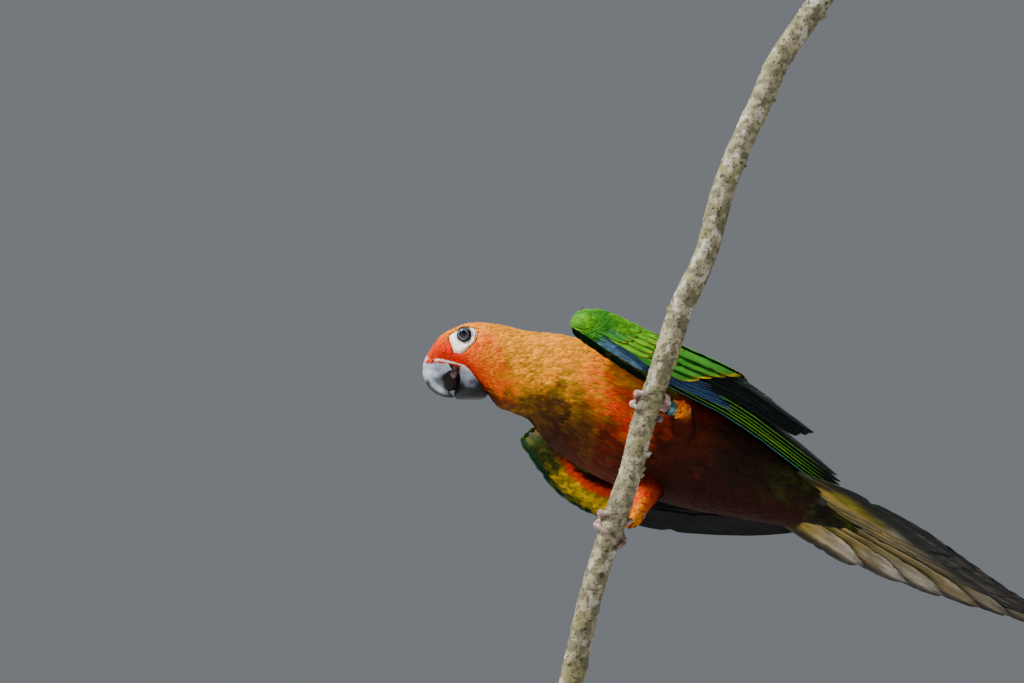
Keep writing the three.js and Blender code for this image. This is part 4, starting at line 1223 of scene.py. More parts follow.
def build_coverts(name, wing, chart, rng, seed):
    """Small coverts on both faces of the arm and over the bridge."""
    coverts = Batch()
    for below, count in ((False, 1150), (True, 950)):
        sheet = under_sheet if below else upper_sheet
        t = rng.random(count) * (0.8 if below else 0.72)
        s = rng.random(count)
        along = mix(-4, 62, t) if below else mix(*UPPER_SHEET, t)
        across = mix(-3.8, 17, s) if below else mix(-3.5, shoulder_reach(along), s)
        paint = under_paint if below else wing_paint
        colours = paint(along, across, sheet(chart, t, s, 0)) * (0.75 + 0.5 * rng.random((count, 1)))
        span = mix(5.5, 9.0, rng.random(count)) / (66 if below else 48)
        widths = mix(3.0, 4.4, rng.random(count))
        ruffle = np.random.default_rng(seed + 5 + below).random(count)
        line = (sheet(chart, t, s, -0.9), sheet(chart, t + span * 0.5, s, 0.1 + 0.3 * ruffle),
                sheet(chart, t + span, s, 0.2 + 0.7 * ruffle))
        normal = unit(sheet(chart, t, s, 1.0) - sheet(chart, t, s, 0.0))
        spots = bake_spot(np.clip(t, 0, 1), s % 1, 0.05)
        plant(coverts, line, normal, widths, colours, spots, seed + 6 + below, locks=5, arch=0.14)
    count = 1450
    share = rng.random(count) * 0.85 + 0.1
    hidden = rng.random(count) < 0.4
    angle = np.radians(np.where(hidden, -165 + 180 * rng.random(count), 15 + 150 * rng.random(count)))
    swing = np.where(hidden, 0.32, -0.32)
    ruffle = 0.6 * rng.random(count)
    top = scapular(wing, chart, share, angle, 0)
    line = (scapular(wing, chart, share, angle, -0.9),
            scapular(wing, chart, share, angle + swing * 0.5, 0.3 + ruffle),
            scapular(wing, chart, share, angle + swing, 0.5 + ruffle))
    normal = unit(scapular(wing, chart, share, angle, 1) - top)
    colours = wing_paint(*GREEN_SPOT, top) * (0.75 + 0.4 * rng.random((count, 1)))
    # Feathers on the side turned away are painted shade; beside the body the right wing's bridge is dark
    # umber, painted shade, and the left wing's is mantle gold
    beside_body = "gold" if wing["side"] > 0 else "umber"
    colours = layers(colours, (beside_body, (1 - step(share, 0.2, 0.55)) * 0.6), ("shade", hidden * 0.7))
    spots = bake_spot(share, angle / TAU, 0.05)
    plant(coverts, line, normal, np.full(count, 4.6), colours, spots, seed + 9, locks=5, arch=0.14)
    return coverts.build(f"{name}_coverts", COVERT)


def build_wing(name, wing, seed):
    chart = wing_chart(wing)
    rng = np.random.default_rng(seed)
    feathers = build_flight_feathers(name, chart, rng, seed)
    settle(feathers, "wing_feathers", name)
    settle(build_flesh(name, wing, chart), "wing_feathers")
    settle(build_coverts(name, wing, chart, rng, seed), "wing_feathers")


build_wing("wing_left", WINGS["left"], 31)
build_wing("wing_right", WINGS["right"], 37)


# Tail: six graded pairs, the outermost lowest, with worn tips
TAIL_PAIRS = 6


def rectrix_paint(pair, side):
    """Underside olive at the base and silver towards the tip, topside olive green with a blue end; on the
    left half the underside is painted shade, near-black.
    """
    def paint(u, v, below, seed):
        out = u * side
        mottle = vane_cloud(u * 3, v * 9, seed, 71)
        drawn = vane_cloud(u * 9 + v * 14, v * 3, seed, 73)
        if below:
            web = 0.85 if pair < 3 else 0.4
            base = layers(
                "olive",
                ("old gold", step(drawn, 0.3, 0.65) * 0.6),
                ("silver", step(v + (mottle - 0.5) * 0.2, 0.42 + 0.08 * pair, 0.9) * web),
                ("cream", step(-out, 1.15, 1.4) * (1 - step(v, 0.8, 1)) * 0.35),
                ("ash", np.maximum(step(drawn, 0.45, 0.75) * 0.5, 0.16 * pair)),
                ("soot", step(out, 0.0, 0.12) * (0.75 + 0.25 * mottle)))
            # On the left half the underside turns near-black, with a black line at each feather's inner edge:
            # painted shade
            if side > 0:
                base = layers(base, ("ink", step(v + 0.35 * out, 0.1, 0.42) * 0.96),
                              ("ink", step(-out, 1.26, 1.4) * 0.9),
                              ("ash", step(drawn, 0.6, 0.74) * step(v, 0.3, 0.8) * 0.4))
        else:
            base = layers("olive", ("fern", step(drawn, 0.3, 0.7) * 0.6),
                          ("blue", step(v + (mottle - 0.5) * 0.2, 0.6, 0.95) * 0.8))
        base = layers(base, ("soot", bump_at(u, 0.0, 0.06) * 0.9),
                      ("soot", step(v + 0.1 * (mottle - 0.5), 0.9, 1.0) * 0.75))
        return base * (0.6 + 0.45 * mottle)[..., None]
    return paint


def build_tail():
    """The left half is rooted farther back and higher than the right; its outer feathers reach farther."""
    batch = Batch()
    for pair in range(TAIL_PAIRS):
        t = pair / (TAIL_PAIRS - 1)
        for side in (-1, 1):
            left = side > 0
            lift = pair + max(0, pair - (3 if left else 2)) * (pair > 2)
            level = -3.4 + lift * 0.8 + (4.5 * (1 - t) if left else 0)
            reach = mix(0.28, 1, t) if left else t
            root = (5 if left else -3, side * mix(13 if left else 6.5, 2, t))
            tip = (mix(58, TAIL_LENGTH, reach ** 0.85), side * mix(15.5, 2.8, t))
            paint, seed = rectrix_paint(pair, side), 900 + pair * 2 + left
            vane(batch, tail_chart, paint, seed, root, tip, level, -3.4 + lift, mix(13.5, 13, t), 0.3,
                 shaft=0.42 * side, wear=0.55, rows=56, columns=16)
    settle(batch.build("tail_feathers", RECTRIX), "tail_feathers", "tail")


def vent_surface(t, turn, grow):
    """Coat over the roots of the tail: share backwards from the vent and the rump, turn from above."""
    swell = round_off(t, 2.2, 0.02)
    grow = grow + 5.5 * facing(turn, 62, 44) * (1 - t)
    along = mix(-14, 28 + 15 * facing(turn, 180, 34), t)
    across = (mix(15.5, 9.5, t) * swell + grow) * np.sin(turn) - TAIL_OFFSET * (1 - t)
    return tail_chart(along, across, (mix(12.5, 5.0, t) * swell + grow) * np.cos(turn) + 1.5 * t)


def tail_coverts():
    """Coverts that run from the vent and the rump over the roots of the tail."""
    rng = np.random.default_rng(303)
    count = 1500
    span = 12 / 50
    share = rng.random(count) ** 0.8
    turn = rng.random(count) * TAU
    ruffle = rng.random(count)
    root = vent_surface(share, turn, -1.0)
    middle = vent_surface(np.minimum(share + span / 2, 1.05), turn, 0.3 * ruffle)
    tip = vent_surface(np.minimum(share + span, 1.15), turn, 0.2 + 0.6 * ruffle)
    normal = unit(vent_surface(share, turn, 1) - vent_surface(share, turn, 0))
    broad = noise(root, 5.0, 81)
    # Below, the coverts are painted shade mottled with moss; above, green and olive
    below = layers("shade", ("moss", step(broad, 0.35, 0.7) * 0.6))
    above = layers("leaf", ("olive", step(broad, 0.4, 0.7) * 0.7))
    colours = blend(below, above, step(np.cos(turn), -0.1, 0.2)) * (0.75 + 0.5 * rng.random((count, 1)))
    widths = mix(4.6, 6.0, rng.random(count))
    spots = bake_spot(share, turn / TAU, 0.05)
    batch = Batch()
    plant(batch, (root, middle, tip), normal, widths, colours, spots, 307, arch=0.14)
    settle(batch.build("tail_coverts", CONTOUR), "tail_feathers")


build_tail()
tail_coverts()


# Bill: slate horn with pale scuffs, a painted highlight over the top of the lower half, dark edges and tips,
# and faint growth ridges
def horn_material(name, scale, rough):
    material, tree = new_material(name)
    place = place_on(tree)
    cloud = cloud_on(tree, place, scale, 5.0, Roughness=0.6)
    ridges = cloud_on(tree, place, scale * 4, 3.0)
    colour = scaled(tree, painted(tree), mapped(tree, cloud, 0.74, 1.3))
    surface(tree, colour, mapped(tree, cloud, rough - 0.1, rough + 0.15),
            Specular_IOR_Level=0.18, height=ridges, strength=0.35, depth_mm=0.12)
    return material


# Bill horn: keratin sheath, flakes a few millimetres across
HORN = horn_material("bill_keratin", 260.0, 0.38)


def upper_bill(t, turn):
    """Rings round the corner of the gape, from the forehead to the hooked tip."""
    swing = np.radians(mix(118, 272, t))
    outer = mix(13.5, 12.9, t) + 0.9 * np.sin(t * math.pi) + 0.07 * np.sin(t * 60) * step(t, 0.1, 0.3)
    notch = 1.7 * bump_at(t, 0.64, 0.075)
    inner = mix(-1.5, 11.9, t ** 2.3) + notch
    half = mix(8.2, 0.9, t ** 1.5)
    flat = np.sign(np.cos(turn)) * np.abs(np.cos(turn)) ** 0.9
    reach = mix(inner, outer, 0.5 + 0.5 * flat)
    side = half * np.sin(turn) * (1 - 0.25 * np.cos(turn))
    lip = 0.35 * bump_at(np.cos(turn), -0.75, 0.2) * step(t, 0.2, 0.5) * (1 - step(t, 0.85, 1))
    return GAPE + np.stack([reach * np.cos(swing), reach * np.sin(swing), side * (1 + 0.05 * lip)], -1)


def lower_bill(t, turn):
    """Deep round scoop with a sharp upper edge and a blunt chisel front."""
    height = mix(-7.6, -27.4, t)
    rounded = round_off(t, 5, 0.004)
    front = -26.2 + 2.0 * bump_at(t, 0.4, 0.3) - 2.6 * step(t, 0.55, 0.95) + (1 - rounded) * 3.5
    rear = -9.5 - (1 - rounded) * 6
    x = mix(front, rear, 0.5 + 0.5 * np.cos(turn))
    side = 7.7 * rounded * np.sin(turn) * (1 + 0.012 * np.sin(t * 34))
    return np.stack([x, height + 0.25 * np.sin(turn * 2) * (1 - t), side], -1)


def upper_tint(points):
    x, y = points[:, 0] - GAPE[0], points[:, 1] - GAPE[1]
    swing = np.degrees(np.arctan2(y, x)) % 360
    reach = np.hypot(x, y)
    cloud = noise(points, 3.0, 401)
    return layers("bill slate", ("bill scuff", step(cloud, 0.36, 0.75) * 0.5),
                  ("bill dark", step(swing + (cloud - 0.5) * 14, 238, 262) * 0.9),
                  ("bill dark", step(reach + (cloud - 0.5), 11.2, 12.8) * step(swing, 185, 210) * 0.95),
                  ("bill dark", step(-reach, -10.4, -8.6) * step(swing, 190, 215) * 0.7))


def lower_tint(points):
    x, y = points[:, 0], points[:, 1]
    cloud = noise(points, 3.0, 401)
    # The pale top is a painted highlight; below it the colour turns slate, then near-black towards the bottom
    return layers("bill scuff", ("bill slate", step(-y + (cloud - 0.5) * 6, 8, 17)),
                  ("bill dark", step(-y + (cloud - 0.5) * 4, 16, 21) * 0.97),
                  ("bill dark", (1 - step(x, -26.2, -24.4)) * 0.6))


def build_bill():
    for name, chart, tint in (("bill_upper", upper_bill, upper_tint), ("bill_lower", lower_bill, lower_tint)):
        piece = to_piece(rolled(chart, 90, 64), f"{name}_horn", HORN)
        set_tint(piece.data, tint(pose_points(piece.data)))
        settle(piece, "bill_horn", name)


# Soft pale skin where the bill meets the face, with the nostrils in it
CERE_HALF = [(-17.5, -14.6, 8.4), (-20.5, -12.0, 9.0), (-25, -9.8, 9.4), (-29.5, -8.8, 9.0), (-34, -8.4, 7.2),
             (-37.6, -8.8, 4.0)]
CERE = Curve(CERE_HALF + [(-39.4, -9.4, 0)] + [(x, y, -z) for x, y, z in reversed(CERE_HALF)])
CERE_RADIUS = 0.85


def cere(t, turn):
    along = CERE.along(CERE.share(t))
    up = unit(np.cross(along, np.cross(np.array([0.35, 1.0, 0.0]), along)))
    out = np.cross(along, up)
    swell = 1 + 0.22 * (noise(np.stack([t * 40, np.cos(turn), np.sin(turn)], -1), 1.0, 405) - 0.5)
    radius = CERE_RADIUS * round_off(2 * t - 1, 6, 0.03) * swell
    nostrils = (bump_at(t, 0.43, 0.012) + bump_at(t, 0.57, 0.012)) * bump_at(turn, math.pi * 0.5, 0.5)
    radius = (radius - 0.55 * nostrils) * (1 - 0.7 * bump_at(t, 0.5, 0.09))
    rise = up * (radius * 1.25 * np.cos(turn))[..., None]
    return CERE.at(t) + rise + out * (radius * np.sin(turn))[..., None]


def build_cere():
    piece = to_piece(rolled(cere, 220, 24), "cere", horn_material("cere_skin", 420.0, 0.55))
    cloud = noise(pose_points(piece.data), 1.2, 407)
    set_tint(piece.data, layers(PAINT["skin"] * 0.85, ("cere blush", step(cloud, 0.45, 0.75) * 0.6)))
    settle(piece, "mouth_skin")


build_bill()
build_cere()


# Tongue and mouth: moist dark skin, wrinkles under a millimetre; the mouth's lining is nearly black, painted
# shade
def moist_material(name, dark, light):
    material, tree = new_material(name)
    folds = cloud_on(tree, place_on(tree), 900.0, 3.0)
    surface(tree, tones_on(tree, folds, dark, light), mapped(tree, folds, 0.2, 0.5, 0, 1),
            Specular_IOR_Level=0.15, height=folds, strength=0.5, depth_mm=0.2)
    return material


def mouth_shade_lining(t, turn):
    """Palate and throat between the two halves of the bill, nearly black: painted shade inside the mouth."""
    swell = round_off(2 * t - 1, 5, 0.02)
    half = mix(4.2, 5.4, step(t, 0.2, 0.7)) * swell
    x = mix(-29.2, -29.8, t) + half * np.cos(turn)
    return np.stack([x, mix(-8.6, -23.5, t), 3.4 * swell * np.sin(turn)], -1)


def tongue(t, turn):
    """Thick round tongue, its blunt tip lying against the lower half."""
    swell = round_off(t, 4, 0.02) * (1 + 0.14 * np.sin(t * 15))
    x = -27.2 - 0.6 * t + 1.9 * swell * np.cos(turn)
    return np.stack([x, mix(-9.5, -20.5, t), 4.3 * swell * np.sin(turn)], -1)


# The lining is painted shade: nearly black where the inside of the mouth lies in shadow
PALATE_SHADE = moist_material("moist_palate_shade", "#050404", "#1C1214")
settle(to_piece(rolled(mouth_shade_lining, 30, 32), "mouth_shade_lining", PALATE_SHADE), "mouth_skin")
TONGUE_SKIN = moist_material("moist_tongue", "#2A1A1C", "#8A6E70")
settle(to_piece(rolled(tongue, 40, 32), "tongue_flesh", TONGUE_SKIN), "mouth_skin", "tongue")


# Eyes: a clear bulging front over a slate iris, in a ring of bare wrinkled lid skin
SKIN_TREE = BVHTree.FromObject(bpy.data.objects["skin"], bpy.context.evaluated_depsgraph_get())
SEARCH_FROM = 60.0
LID_REACH = 3.35
# Tones of the eye by share of 4 mm from its middle: pupil, iris with its paler ring, dark rim
IRIS_STOPS = [(0.0, "#050506"), (0.36, "#08090B"), (0.41, "#20232B"), (0.52, "#595F70"), (0.64, "#444A5B"),
              (0.72, "#171B22"), (0.8, "#0C0D10")]


def skin_depth(x, y, side):
    """How far out the skin lies beside a place on the head, seen from one side."""
    start = Vector(to_world(np.array([x, y, SEARCH_FROM * side])))
    end = Vector(to_world(np.array([x, y, 0.0])))
    hit = SKIN_TREE.ray_cast(start, (end - start).normalized(), SEARCH_FROM * MM)[3]
    return SEARCH_FROM - hit / MM if hit is not None else 0.0


def wet_eye(name, centre, axis):
    """Cornea over iris: wet and clear, pupil 2.8 mm and iris 6.4 mm across with fine spokes."""
    material, tree = new_material(f"wet_eye_{name}")
    middle = vector_math(tree, "SUBTRACT", place_on(tree), tuple(centre)).outputs[0]
    inline = vector_math(tree, "DOT_PRODUCT", middle, tuple(axis)).outputs["Value"]
    flat = vector_math(tree, "SUBTRACT", middle, scaled(tree, tuple(axis), inline)).outputs[0]
    radius = vector_math(tree, "LENGTH", flat).outputs["Value"]
    fibres = cloud_on(tree, vector_math(tree, "NORMALIZE", flat).outputs[0], 16.0, 3.0)
    ramp = add(tree, "ShaderNodeValToRGB", Fac=mapped(tree, radius, 0.0, 1.0, 0.0, EYE_RADIUS * MM))
    elements = ramp.color_ramp.elements
    while len(elements) < len(IRIS_STOPS):
        elements.new(0.5)
    for element, (position, tone) in zip(elements, IRIS_STOPS):
        element.position = position
        element.color = rgba(tone)
    colour = scaled(tree, ramp.outputs[0], mapped(tree, fibres, 0.7, 1.25))
    surface(tree, colour, mapped(tree, fibres, 0.12, 0.22, 0, 1),
            Specular_IOR_Level=0.1, Coat_Weight=0.4, Coat_Roughness=0.02)
    return material


def lids(t, turn, side):
    """Out to in: sunk under the coat, a wrinkled field, a raised lid edge, then under the eye's front."""
    x, y = np.cos(turn), np.sin(turn)
    reach = bare_reach(x, y) + 0.7 - 1.1 * step(y, 0.4, 0.8)
    lip = 3.15 + 0.1 * np.sin(turn * 2 + 0.8)
    curl = 0.35 * np.cos((t - 0.8) / 0.2 * 2.3)
    radial = np.where(t < 0.8, mix(reach, lip + 0.35, t / 0.8), lip + curl)
    px = EYE_PLACE[0] - 0.5 * (1 - step(t, 0.3, 0.8)) + radial * x
    py = EYE_PLACE[1] - 0.1 + radial * y
    base = np.array([skin_depth(a, b, side) for a, b in zip(px, py)])
    rim = math.sqrt(EYE_RADIUS ** 2 - LID_REACH ** 2) + EYE_DEPTH
    waves = noise(np.stack([x * 3, y * 3, t * 0], -1), 1.0, 421)
    fold = 0.09 * np.sin(radial * 5.2 + 1.2 * waves * TAU) * bump_at(t, 0.5, 0.28)
    fold = fold + 0.25 * (noise(np.stack([px, py, t], -1), 0.8, 423) - 0.5) * (1 - t)
    field = base + mix(0.7, 2.0, step(t, 0, 0.3)) + fold
    edge = rim + 0.15 + 0.45 * np.sin(np.clip((t - 0.62) / 0.3, 0, 1) * math.pi)
    sunk = rim - 0.8 * step(t, 0.88, 1.0)
    height = mix(field, np.where(t < 0.88, edge, sunk), step(t, 0.5, 0.82))
    return np.stack([px, py, height * side], -1)


def build_eye(name, side):
    pose_centre = np.array([*EYE_PLACE, EYE_DEPTH * side])
    centre = to_world(pose_centre)
    axis = to_world(pose_centre + unit([-0.16, 0.12, side])) - centre
    bm = bmesh.new()
    bmesh.ops.create_uvsphere(bm, u_segments=64, v_segments=48, radius=EYE_RADIUS * MM)
    for vert in bm.verts:
        ahead = vert.co.z / (EYE_RADIUS * MM)
        vert.co *= 1 + 0.09 * float(step(ahead, 0.72, 1.0))
    bmesh.ops.transform(bm, matrix=Matrix.Translation(Vector(centre)) @ turned_to(axis), verts=bm.verts)
    settle(to_piece(bm, f"eyeball_{name}", wet_eye(name, centre, unit(axis))), "eye", f"eye_{name}")
    grid = rolled(lambda t, turn: lids(t, turn, side), 44, 96, caps=False)
    ring = to_piece(grid, f"eye_ring_{name}", horn_material(f"lid_skin_{name}", 520.0, 0.5))
    points = pose_points(ring.data)
    away = np.linalg.norm(points[:, :2] - EYE_PLACE, axis=1)
    set_tint(ring.data, layers("skin", ("blush", step(noise(points, 0.9, 427), 0.5, 0.8) * 0.5),
                               ("lid grey", (1 - step(away, 3.0, 3.5)) * 0.7)))
    settle(ring, "mouth_skin")


build_eye("left", 1)
build_eye("right", -1)


# Feet: one closed skin from ankle to toes, ringed with scutes
def toe_line(toe, first, last, lift):
    height, rise, turn_from, turn_to = toe
    t = mix(first, last, np.linspace(0, 1, 9))
    share = branch_share(height) + rise * t / BRANCH.length
    return Curve(beside_branch(share, np.radians(mix(turn_from, turn_to, t)), lift(t)))


def toe_lift(t):
    return TOE_RADIUS - 0.15 + 0 * t


def claw_lift(t):
    return mix(TOE_RADIUS - 0.1, 0.75, step(t, TOE_SHARE, 1.1))


def limb_chart(line, radius_at):
    """Round limb along a curve: radius_at(share, turn) gives its radius."""
    def place(t, turn):
        share = line.share(t)
        along = line.along(share)
        first = unit(np.cross(along, np.array([0.31, 0.22, 0.93])))
        second = np.cross(along, first)
        way = first * np.cos(turn)[..., None] + second * np.sin(turn)[..., None]
        return line.point(share) + way * radius_at(t, turn)[..., None]
    return place


def scutes(t, count, turn):
    """Ring plates: each swells and ends in a small step, weaker underneath."""
    phase = (t * count) % 1
    return 0.22 * phase * (1 - step(phase, 0.86, 1.0)) * (0.7 + 0.3 * np.cos(turn))


def tarsus_radius(t, turn):
    return TARSUS_RADIUS * mix(1.2, 0.96, step(t, 0, 0.25)) + scutes(t, 12, turn)


def toe_radius(t, turn):
    pads = 0.26 * np.cos(t * 6 * math.pi) * mix(1, 0.6, t)
    slim = mix(TOE_RADIUS, TOE_RADIUS * 0.8, t) * round_off(t, 9, 0.2)
    return slim + pads + scutes(t, 13, turn)


def ball_radius(t, turn):
    return 2.7 * round_off(2 * t - 1, 2, 0.1)


def claw_radius(t, turn):
    return mix(1.12, 0.1, t ** 1.2) * (1 + 0.12 * np.cos(turn))


def scaled_skin():
    """Dry keratin plates of the feet with a fine net between them, cells about 0.7 mm."""
    material, tree = new_material("scaled_foot_skin")
    edges = {"feature": "DISTANCE_TO_EDGE"}
    cells = add(tree, "ShaderNodeTexVoronoi", edges, Vector=place_on(tree), Scale=1400.0)
    net = mapped(tree, cells.outputs["Distance"], 0.5, 1.08, 0.0, 0.16)
    surface(tree, scaled(tree, painted(tree), net), mapped(tree, net, 0.75, 0.48, 0.5, 1.08),
            height=net, strength=0.5, depth_mm=0.12)
    return material


SCALED_SKIN = scaled_skin()
# Claw horn: smooth dark keratin, lengthwise flakes
CLAW = horn_material("claw_keratin", 500.0, 0.34)


def build_foot(name, foot):
    sole = sole_of(foot)
    whole = bmesh.new()
    tarsus = Curve([foot["ankle"], mix(foot["ankle"], sole, 0.5), sole])
    ball = Curve([sole + np.array([0, -1.6, 0]), sole, sole + np.array([0, 1.6, 0])])
    toes = [(toe_line(toe, -0.04, TOE_SHARE + 0.02, toe_lift), toe_radius) for toe in foot["toes"].values()]
    for line, radius_at in [(tarsus, tarsus_radius), *toes, (ball, ball_radius)]:
        take_in(whole, rolled(limb_chart(line, radius_at), 70, 24))
    mesh = one_skin(whole, f"foot_{name}_skin", 0.24, 2)
    points = pose_points(mesh)
    set_tint(mesh, layers("scute", ("scute rose", step(noise(points, 1.6, 501), 0.35, 0.7)),
                          ("scute dark", step(noise(points, 0.6, 503), 0.62, 0.85) * 0.6)))
    settle(finish_piece(mesh, f"foot_{name}_skin", SCALED_SKIN), "foot_skin", f"foot_{name}")
    # Claws follow on from the toes, round the branch to a point
    for toe_name, toe in foot["toes"].items():
        line = toe_line(toe, TOE_SHARE - 0.04, 1.1, claw_lift)
        claw = to_piece(rolled(limb_chart(line, claw_radius), 40, 20), f"claw_horn_{name}_{toe_name}", CLAW)
        spots = pose_points(claw.data)
        reach = np.linalg.norm(spots - line.at(0.0), axis=1) / line.length
        worn = step(reach + (noise(spots, 1.0, 507) - 0.5) * 0.3, 0.2, 0.8)
        set_tint(claw.data, layers("claw", ("claw tip", worn)))
        settle(claw, "claw_horn", f"claw_{name}_{toe_name}")


build_foot("left", FEET["left"])
build_foot("right", FEET["right"])


# Leg band: plain anodised aluminium, a rounded ring with a fine groove at each edge
BAND_HALF = 1.8
BAND_INNER = TARSUS_RADIUS + 0.75
BAND_OUTER = TARSUS_RADIUS + 1.3
GROOVE = BAND_OUTER - 0.1


def anodised_aluminium():
    material, tree = new_material("anodised_aluminium")
    wear = cloud_on(tree, place_on(tree), 900.0, 4.0)
    surface(tree, tones_on(tree, wear, "#1C4A52", "#6E9C9E"), mapped(tree, wear, 0.22, 0.5, 0, 1),
            Metallic=1.0, height=wear, strength=0.3, depth_mm=0.05)
    return material


def build_band():
    ankle, sole = FEET["left"]["ankle"], sole_of(FEET["left"])
    edge = [(BAND_INNER, BAND_HALF), (BAND_OUTER, BAND_HALF), (BAND_OUTER, BAND_HALF - 0.5),
            (GROOVE, BAND_HALF - 0.6), (GROOVE, BAND_HALF - 0.8), (BAND_OUTER, BAND_HALF - 0.9)]
    profile = [(radius, -height) for radius, height in edge] + edge[::-1]
    bm = turned(profile, 72, 1e-7, closed=True)
    rims = [e for e in bm.edges if len(e.link_faces) == 2 and e.calc_face_angle(0) > 1.2]
    bmesh.ops.bevel(bm, geom=rims, offset=0.12 * MM, segments=2, profile=0.5, affect="EDGES", material=-1)
    place = Matrix.Translation(Vector(to_world(mix(ankle, sole, 0.45))))
    bmesh.ops.transform(bm, matrix=place @ turned_to(to_world(sole) - to_world(ankle)), verts=bm.verts)
    settle(to_piece(bm, "aluminium_band", anodised_aluminium()), "band_metal", "leg_band")


build_band()


# Perch: bark over a bent branch, with knots, buds, a crack, a hole and a clean cut at each end
# Knots: height on the branch, turn about it, how tall and how wide; buds: height, turn and size
KNOTS = [(80, 0.6, 1.5, 2.0), (70, 3.4, 1.0, 2.4), (-101, 0.2, 0.9, 3.0), (-8, 5.6, 0.8, 2.0),
         (128, 2.2, 1.1, 2.2), (34, 5.2, 0.7, 1.6), (-140, 1.4, 0.9, 2.4)]
BUDS = [(-49, 1.15, 1.3), (-55, 1.0, 1.0), (-57.5, 1.35, 0.8), (146, 1.2, 1.3), (147, -0.9, 0.9),
        (108, 1.7, 1.0), (12, 4.4, 0.9), (-120, 3.9, 1.0), (78, 1.2, 0.9)]
SCAR_HEIGHTS = (78.5, 82.5, 132)
HOLE_HEIGHT, HOLE_TURN = -100, 0.35
CRACK_HEIGHT, CRACK_TURN = -107, 0.1


def beyond(t, height):
    """Distance along the branch from a height on it."""
    return (t - branch_share(height)) * BRANCH.length


def around_gap(turn, middle):
    return (turn - middle + math.pi) % TAU - math.pi


def hole_gap(t, turn):
    return np.hypot(beyond(t, HOLE_HEIGHT), around_gap(turn, HOLE_TURN) * BRANCH_RADIUS)


def bark_radius(t, turn):
    ring = np.stack([t * BRANCH.length, BRANCH_RADIUS * np.cos(turn), BRANCH_RADIUS * np.sin(turn)], -1)
    height = 0.5 * (noise(ring * [0.3, 1, 1], 6.0, 601) - 0.5)
    height = height + 0.3 * (noise(ring * [0.7, 1, 1], 1.8, 603) - 0.5)
    height = height + 0.16 * (noise(ring, 0.8, 605) - 0.5)
    height = height + 0.34 * step(noise(ring * [1.0, 0.8, 0.8], 1.5, 607), 0.74, 0.86)
    for place, middle, tall, wide in KNOTS:
        gap = np.hypot(beyond(t, place) / wide, around_gap(turn, middle) * BRANCH_RADIUS / (wide * 1.3))
        height = height + tall * bump_at(gap, 0, 1) - 0.5 * tall * bump_at(gap, 0, 0.32)
    hole = hole_gap(t, turn)
    height = height - 1.6 * bump_at(hole, 0, 0.85) + 0.35 * bump_at(hole, 1.7, 0.7)
    beside = around_gap(turn, CRACK_TURN)
    crack = beyond(t, CRACK_HEIGHT) - 1.2 * beside
    height = height - 0.8 * bump_at(crack, 0, 0.32) * (1 - step(np.abs(beside), 0.5, 0.9))
    # Scar rings where a shoot once left the stem
    for place in SCAR_HEIGHTS:
        height = height + 0.35 * bump_at(beyond(t, place), 0, 0.6)
    return height


def bark_tint(points, t, turn):
    return layers("bark", ("bark pale", step(noise(points, 2.2, 613), 0.35, 0.7)),
                  ("bark olive", step(noise(points, 7.0, 611), 0.45, 0.75) * 0.5),
                  ("bark brown", step(noise(points, 0.9, 615), 0.6, 0.85) * 0.55),
                  ("lichen", step(noise(points, 3.4, 617), 0.68, 0.82) * 0.6),
                  ("fissure", step(noise(points, 1.1, 619), 0.76, 0.85) * 0.85),
                  # The hole's dark inside is painted shade
                  ("hole", bump_at(hole_gap(t, turn), 0, 0.8) * 0.9))


def bud_radius(t, turn):
    return round_off(t, 1.8, 0.02) * (1 + 0.12 * np.sin(turn * 3 + t * 7))


def twig_bark():
    """Thin bark of a living twig: dry and dull, pores and fissures under a millimetre, crusts of lichen."""
    material, tree = new_material("twig_bark")
    place = place_on(tree)
    grit = cloud_on(tree, place, 1500.0, 4.0, Roughness=0.65)
    pores = add(tree, "ShaderNodeTexVoronoi", Vector=place, Scale=560.0, Randomness=1.0)
    dots = mapped(tree, pores.outputs["Distance"], 0.35, 1.0, 0.16, 0.3)
    both = math_on(tree, "MULTIPLY", mapped(tree, grit, 0.66, 1.3), dots)
    surface(tree, scaled(tree, painted(tree), both), mapped(tree, grit, 0.72, 0.98, 0, 1),
            Specular_IOR_Level=0.25, height=both, strength=0.8, depth_mm=0.25)
    return material


def build_perch():
    bm = rolled(lambda t, turn: beside_branch(t, turn, bark_radius(t, turn)), 620, 64)
    parts = bm.verts[:] + bm.edges[:] + bm.faces[:]
    cut = Vector(to_world(BRANCH_FOOT))
    bmesh.ops.bisect_plane(bm, geom=parts, plane_co=cut, plane_no=Vector((0, 0, 1)), clear_inner=True)
    bmesh.ops.holes_fill(bm, edges=[e for e in bm.edges if e.is_boundary], sides=0)
    for height, turn, size in BUDS:
        share = branch_share(height)
        base = beside_branch(share, turn, -0.4)
        tip = beside_branch(min(share + 1.6 * size / BRANCH.length, 1), turn, 1.5 * size)
        line = Curve([base, mix(base, tip, 0.5) + np.array([0, 0.25, 0]), tip])
        take_in(bm, rolled(limb_chart(line, lambda t, turn: size * bud_radius(t, turn)), 16, 18))
    bmesh.ops.recalc_face_normals(bm, faces=bm.faces)
    perch = to_piece(bm, "bark_branch", twig_bark())
    points = pose_points(perch.data)
    shares = np.linspace(0, 1, 801)
    t = np.interp(points[:, 1], BRANCH.at(shares)[:, 1], shares)
    away = points - BRANCH.at(t)
    set_tint(perch.data, bark_tint(points, t, np.arctan2(away[:, 0], away[:, 2])))
    settle(perch, "bark", "perch")


build_perch()


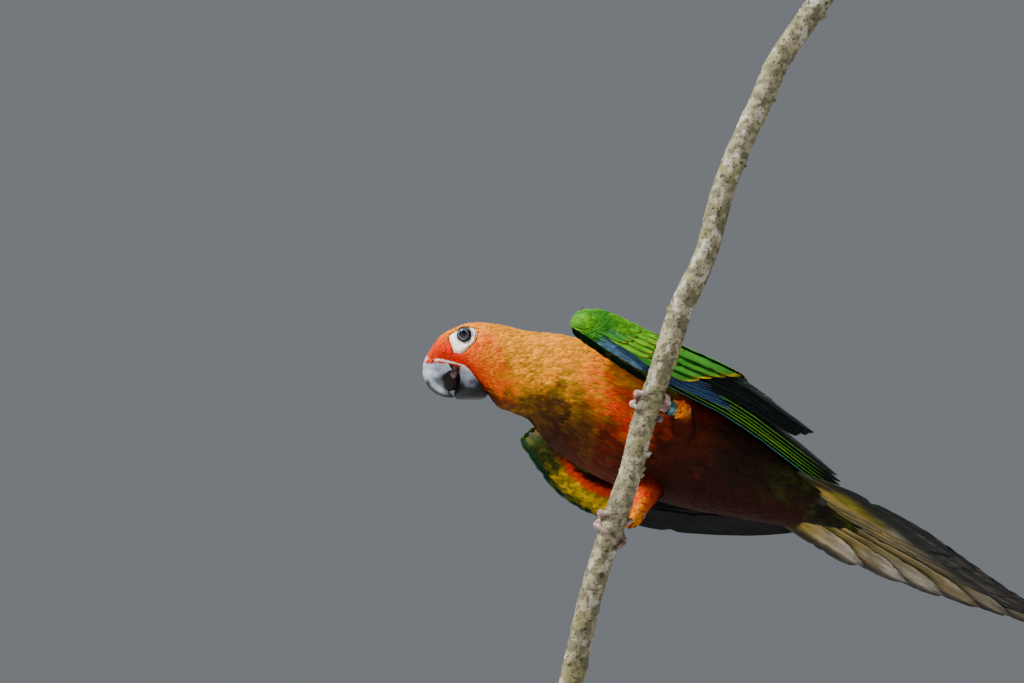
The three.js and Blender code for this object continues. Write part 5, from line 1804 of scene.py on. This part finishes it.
# Stand: a turned round base of black stained wood and a brushed steel rod
BASE_PROFILE = [(0, 0), (91.4, 0), (92, 0.6), (92, 8.4), (91.5, 10.2), (90.2, 11.4), (88.4, 12), (0, 12)]


def stained_ash():
    """Ash under a satin black stain: open grain about 1.5 mm apart shows through as dull lines."""
    material, tree = new_material("stained_ash")
    grain = cloud_on(tree, drawn_out(tree, place_on(tree), (60, 650, 650)), 1.0, 4.0, Distortion=0.4)
    surface(tree, tones_on(tree, grain, "#0E0D0C", "#38332E"), mapped(tree, grain, 0.32, 0.62, 0, 1),
            height=grain, strength=0.4, depth_mm=0.15)
    return material


def brushed_steel():
    """Brushed steel: turning marks round the rod about 0.3 mm apart."""
    material, tree = new_material("brushed_steel")
    lines = cloud_on(tree, drawn_out(tree, place_on(tree), (120, 120, 3200)), 1.0, 3.0)
    surface(tree, tones_on(tree, lines, "#9A9C9E", "#D6D8DA"), mapped(tree, lines, 0.24, 0.46, 0, 1),
            Metallic=1.0, height=lines, strength=0.25, depth_mm=0.04)
    return material


def build_stand():
    base = to_piece(turned(BASE_PROFILE, 128, 1e-6), "turned_base", stained_ash(), smooth=False)
    base.data.shade_smooth()
    base.data.set_sharp_from_angle(angle=math.radians(50))
    settle(base, "stand_wood", "stand_base")
    steel = brushed_steel()
    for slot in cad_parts["stand_rod"].material_slots:
        slot.material = steel


build_stand()


# Pale plain floor and surroundings
def pale_paper():
    """Matt paper board, its tone a little uneven."""
    material, tree = new_material("pale_paper")
    surface(tree, mapped(tree, cloud_on(tree, place_on(tree), 60.0, 3.0), 0.66, 0.7, 0, 1), 0.85)
    return material


def build_floor():
    bm = bmesh.new()
    bmesh.ops.create_grid(bm, x_segments=1, y_segments=1, size=4.0)
    to_piece(bm, "floor", pale_paper(), smooth=False)


build_floor()

world = bpy.data.worlds.new("studio")
bpy.context.scene.world = world
world.use_nodes = True
sky = world.node_tree.nodes["Background"]
sky.inputs["Color"].default_value = (0.80, 0.86, 0.93, 1)
sky.inputs["Strength"].default_value = 0.22
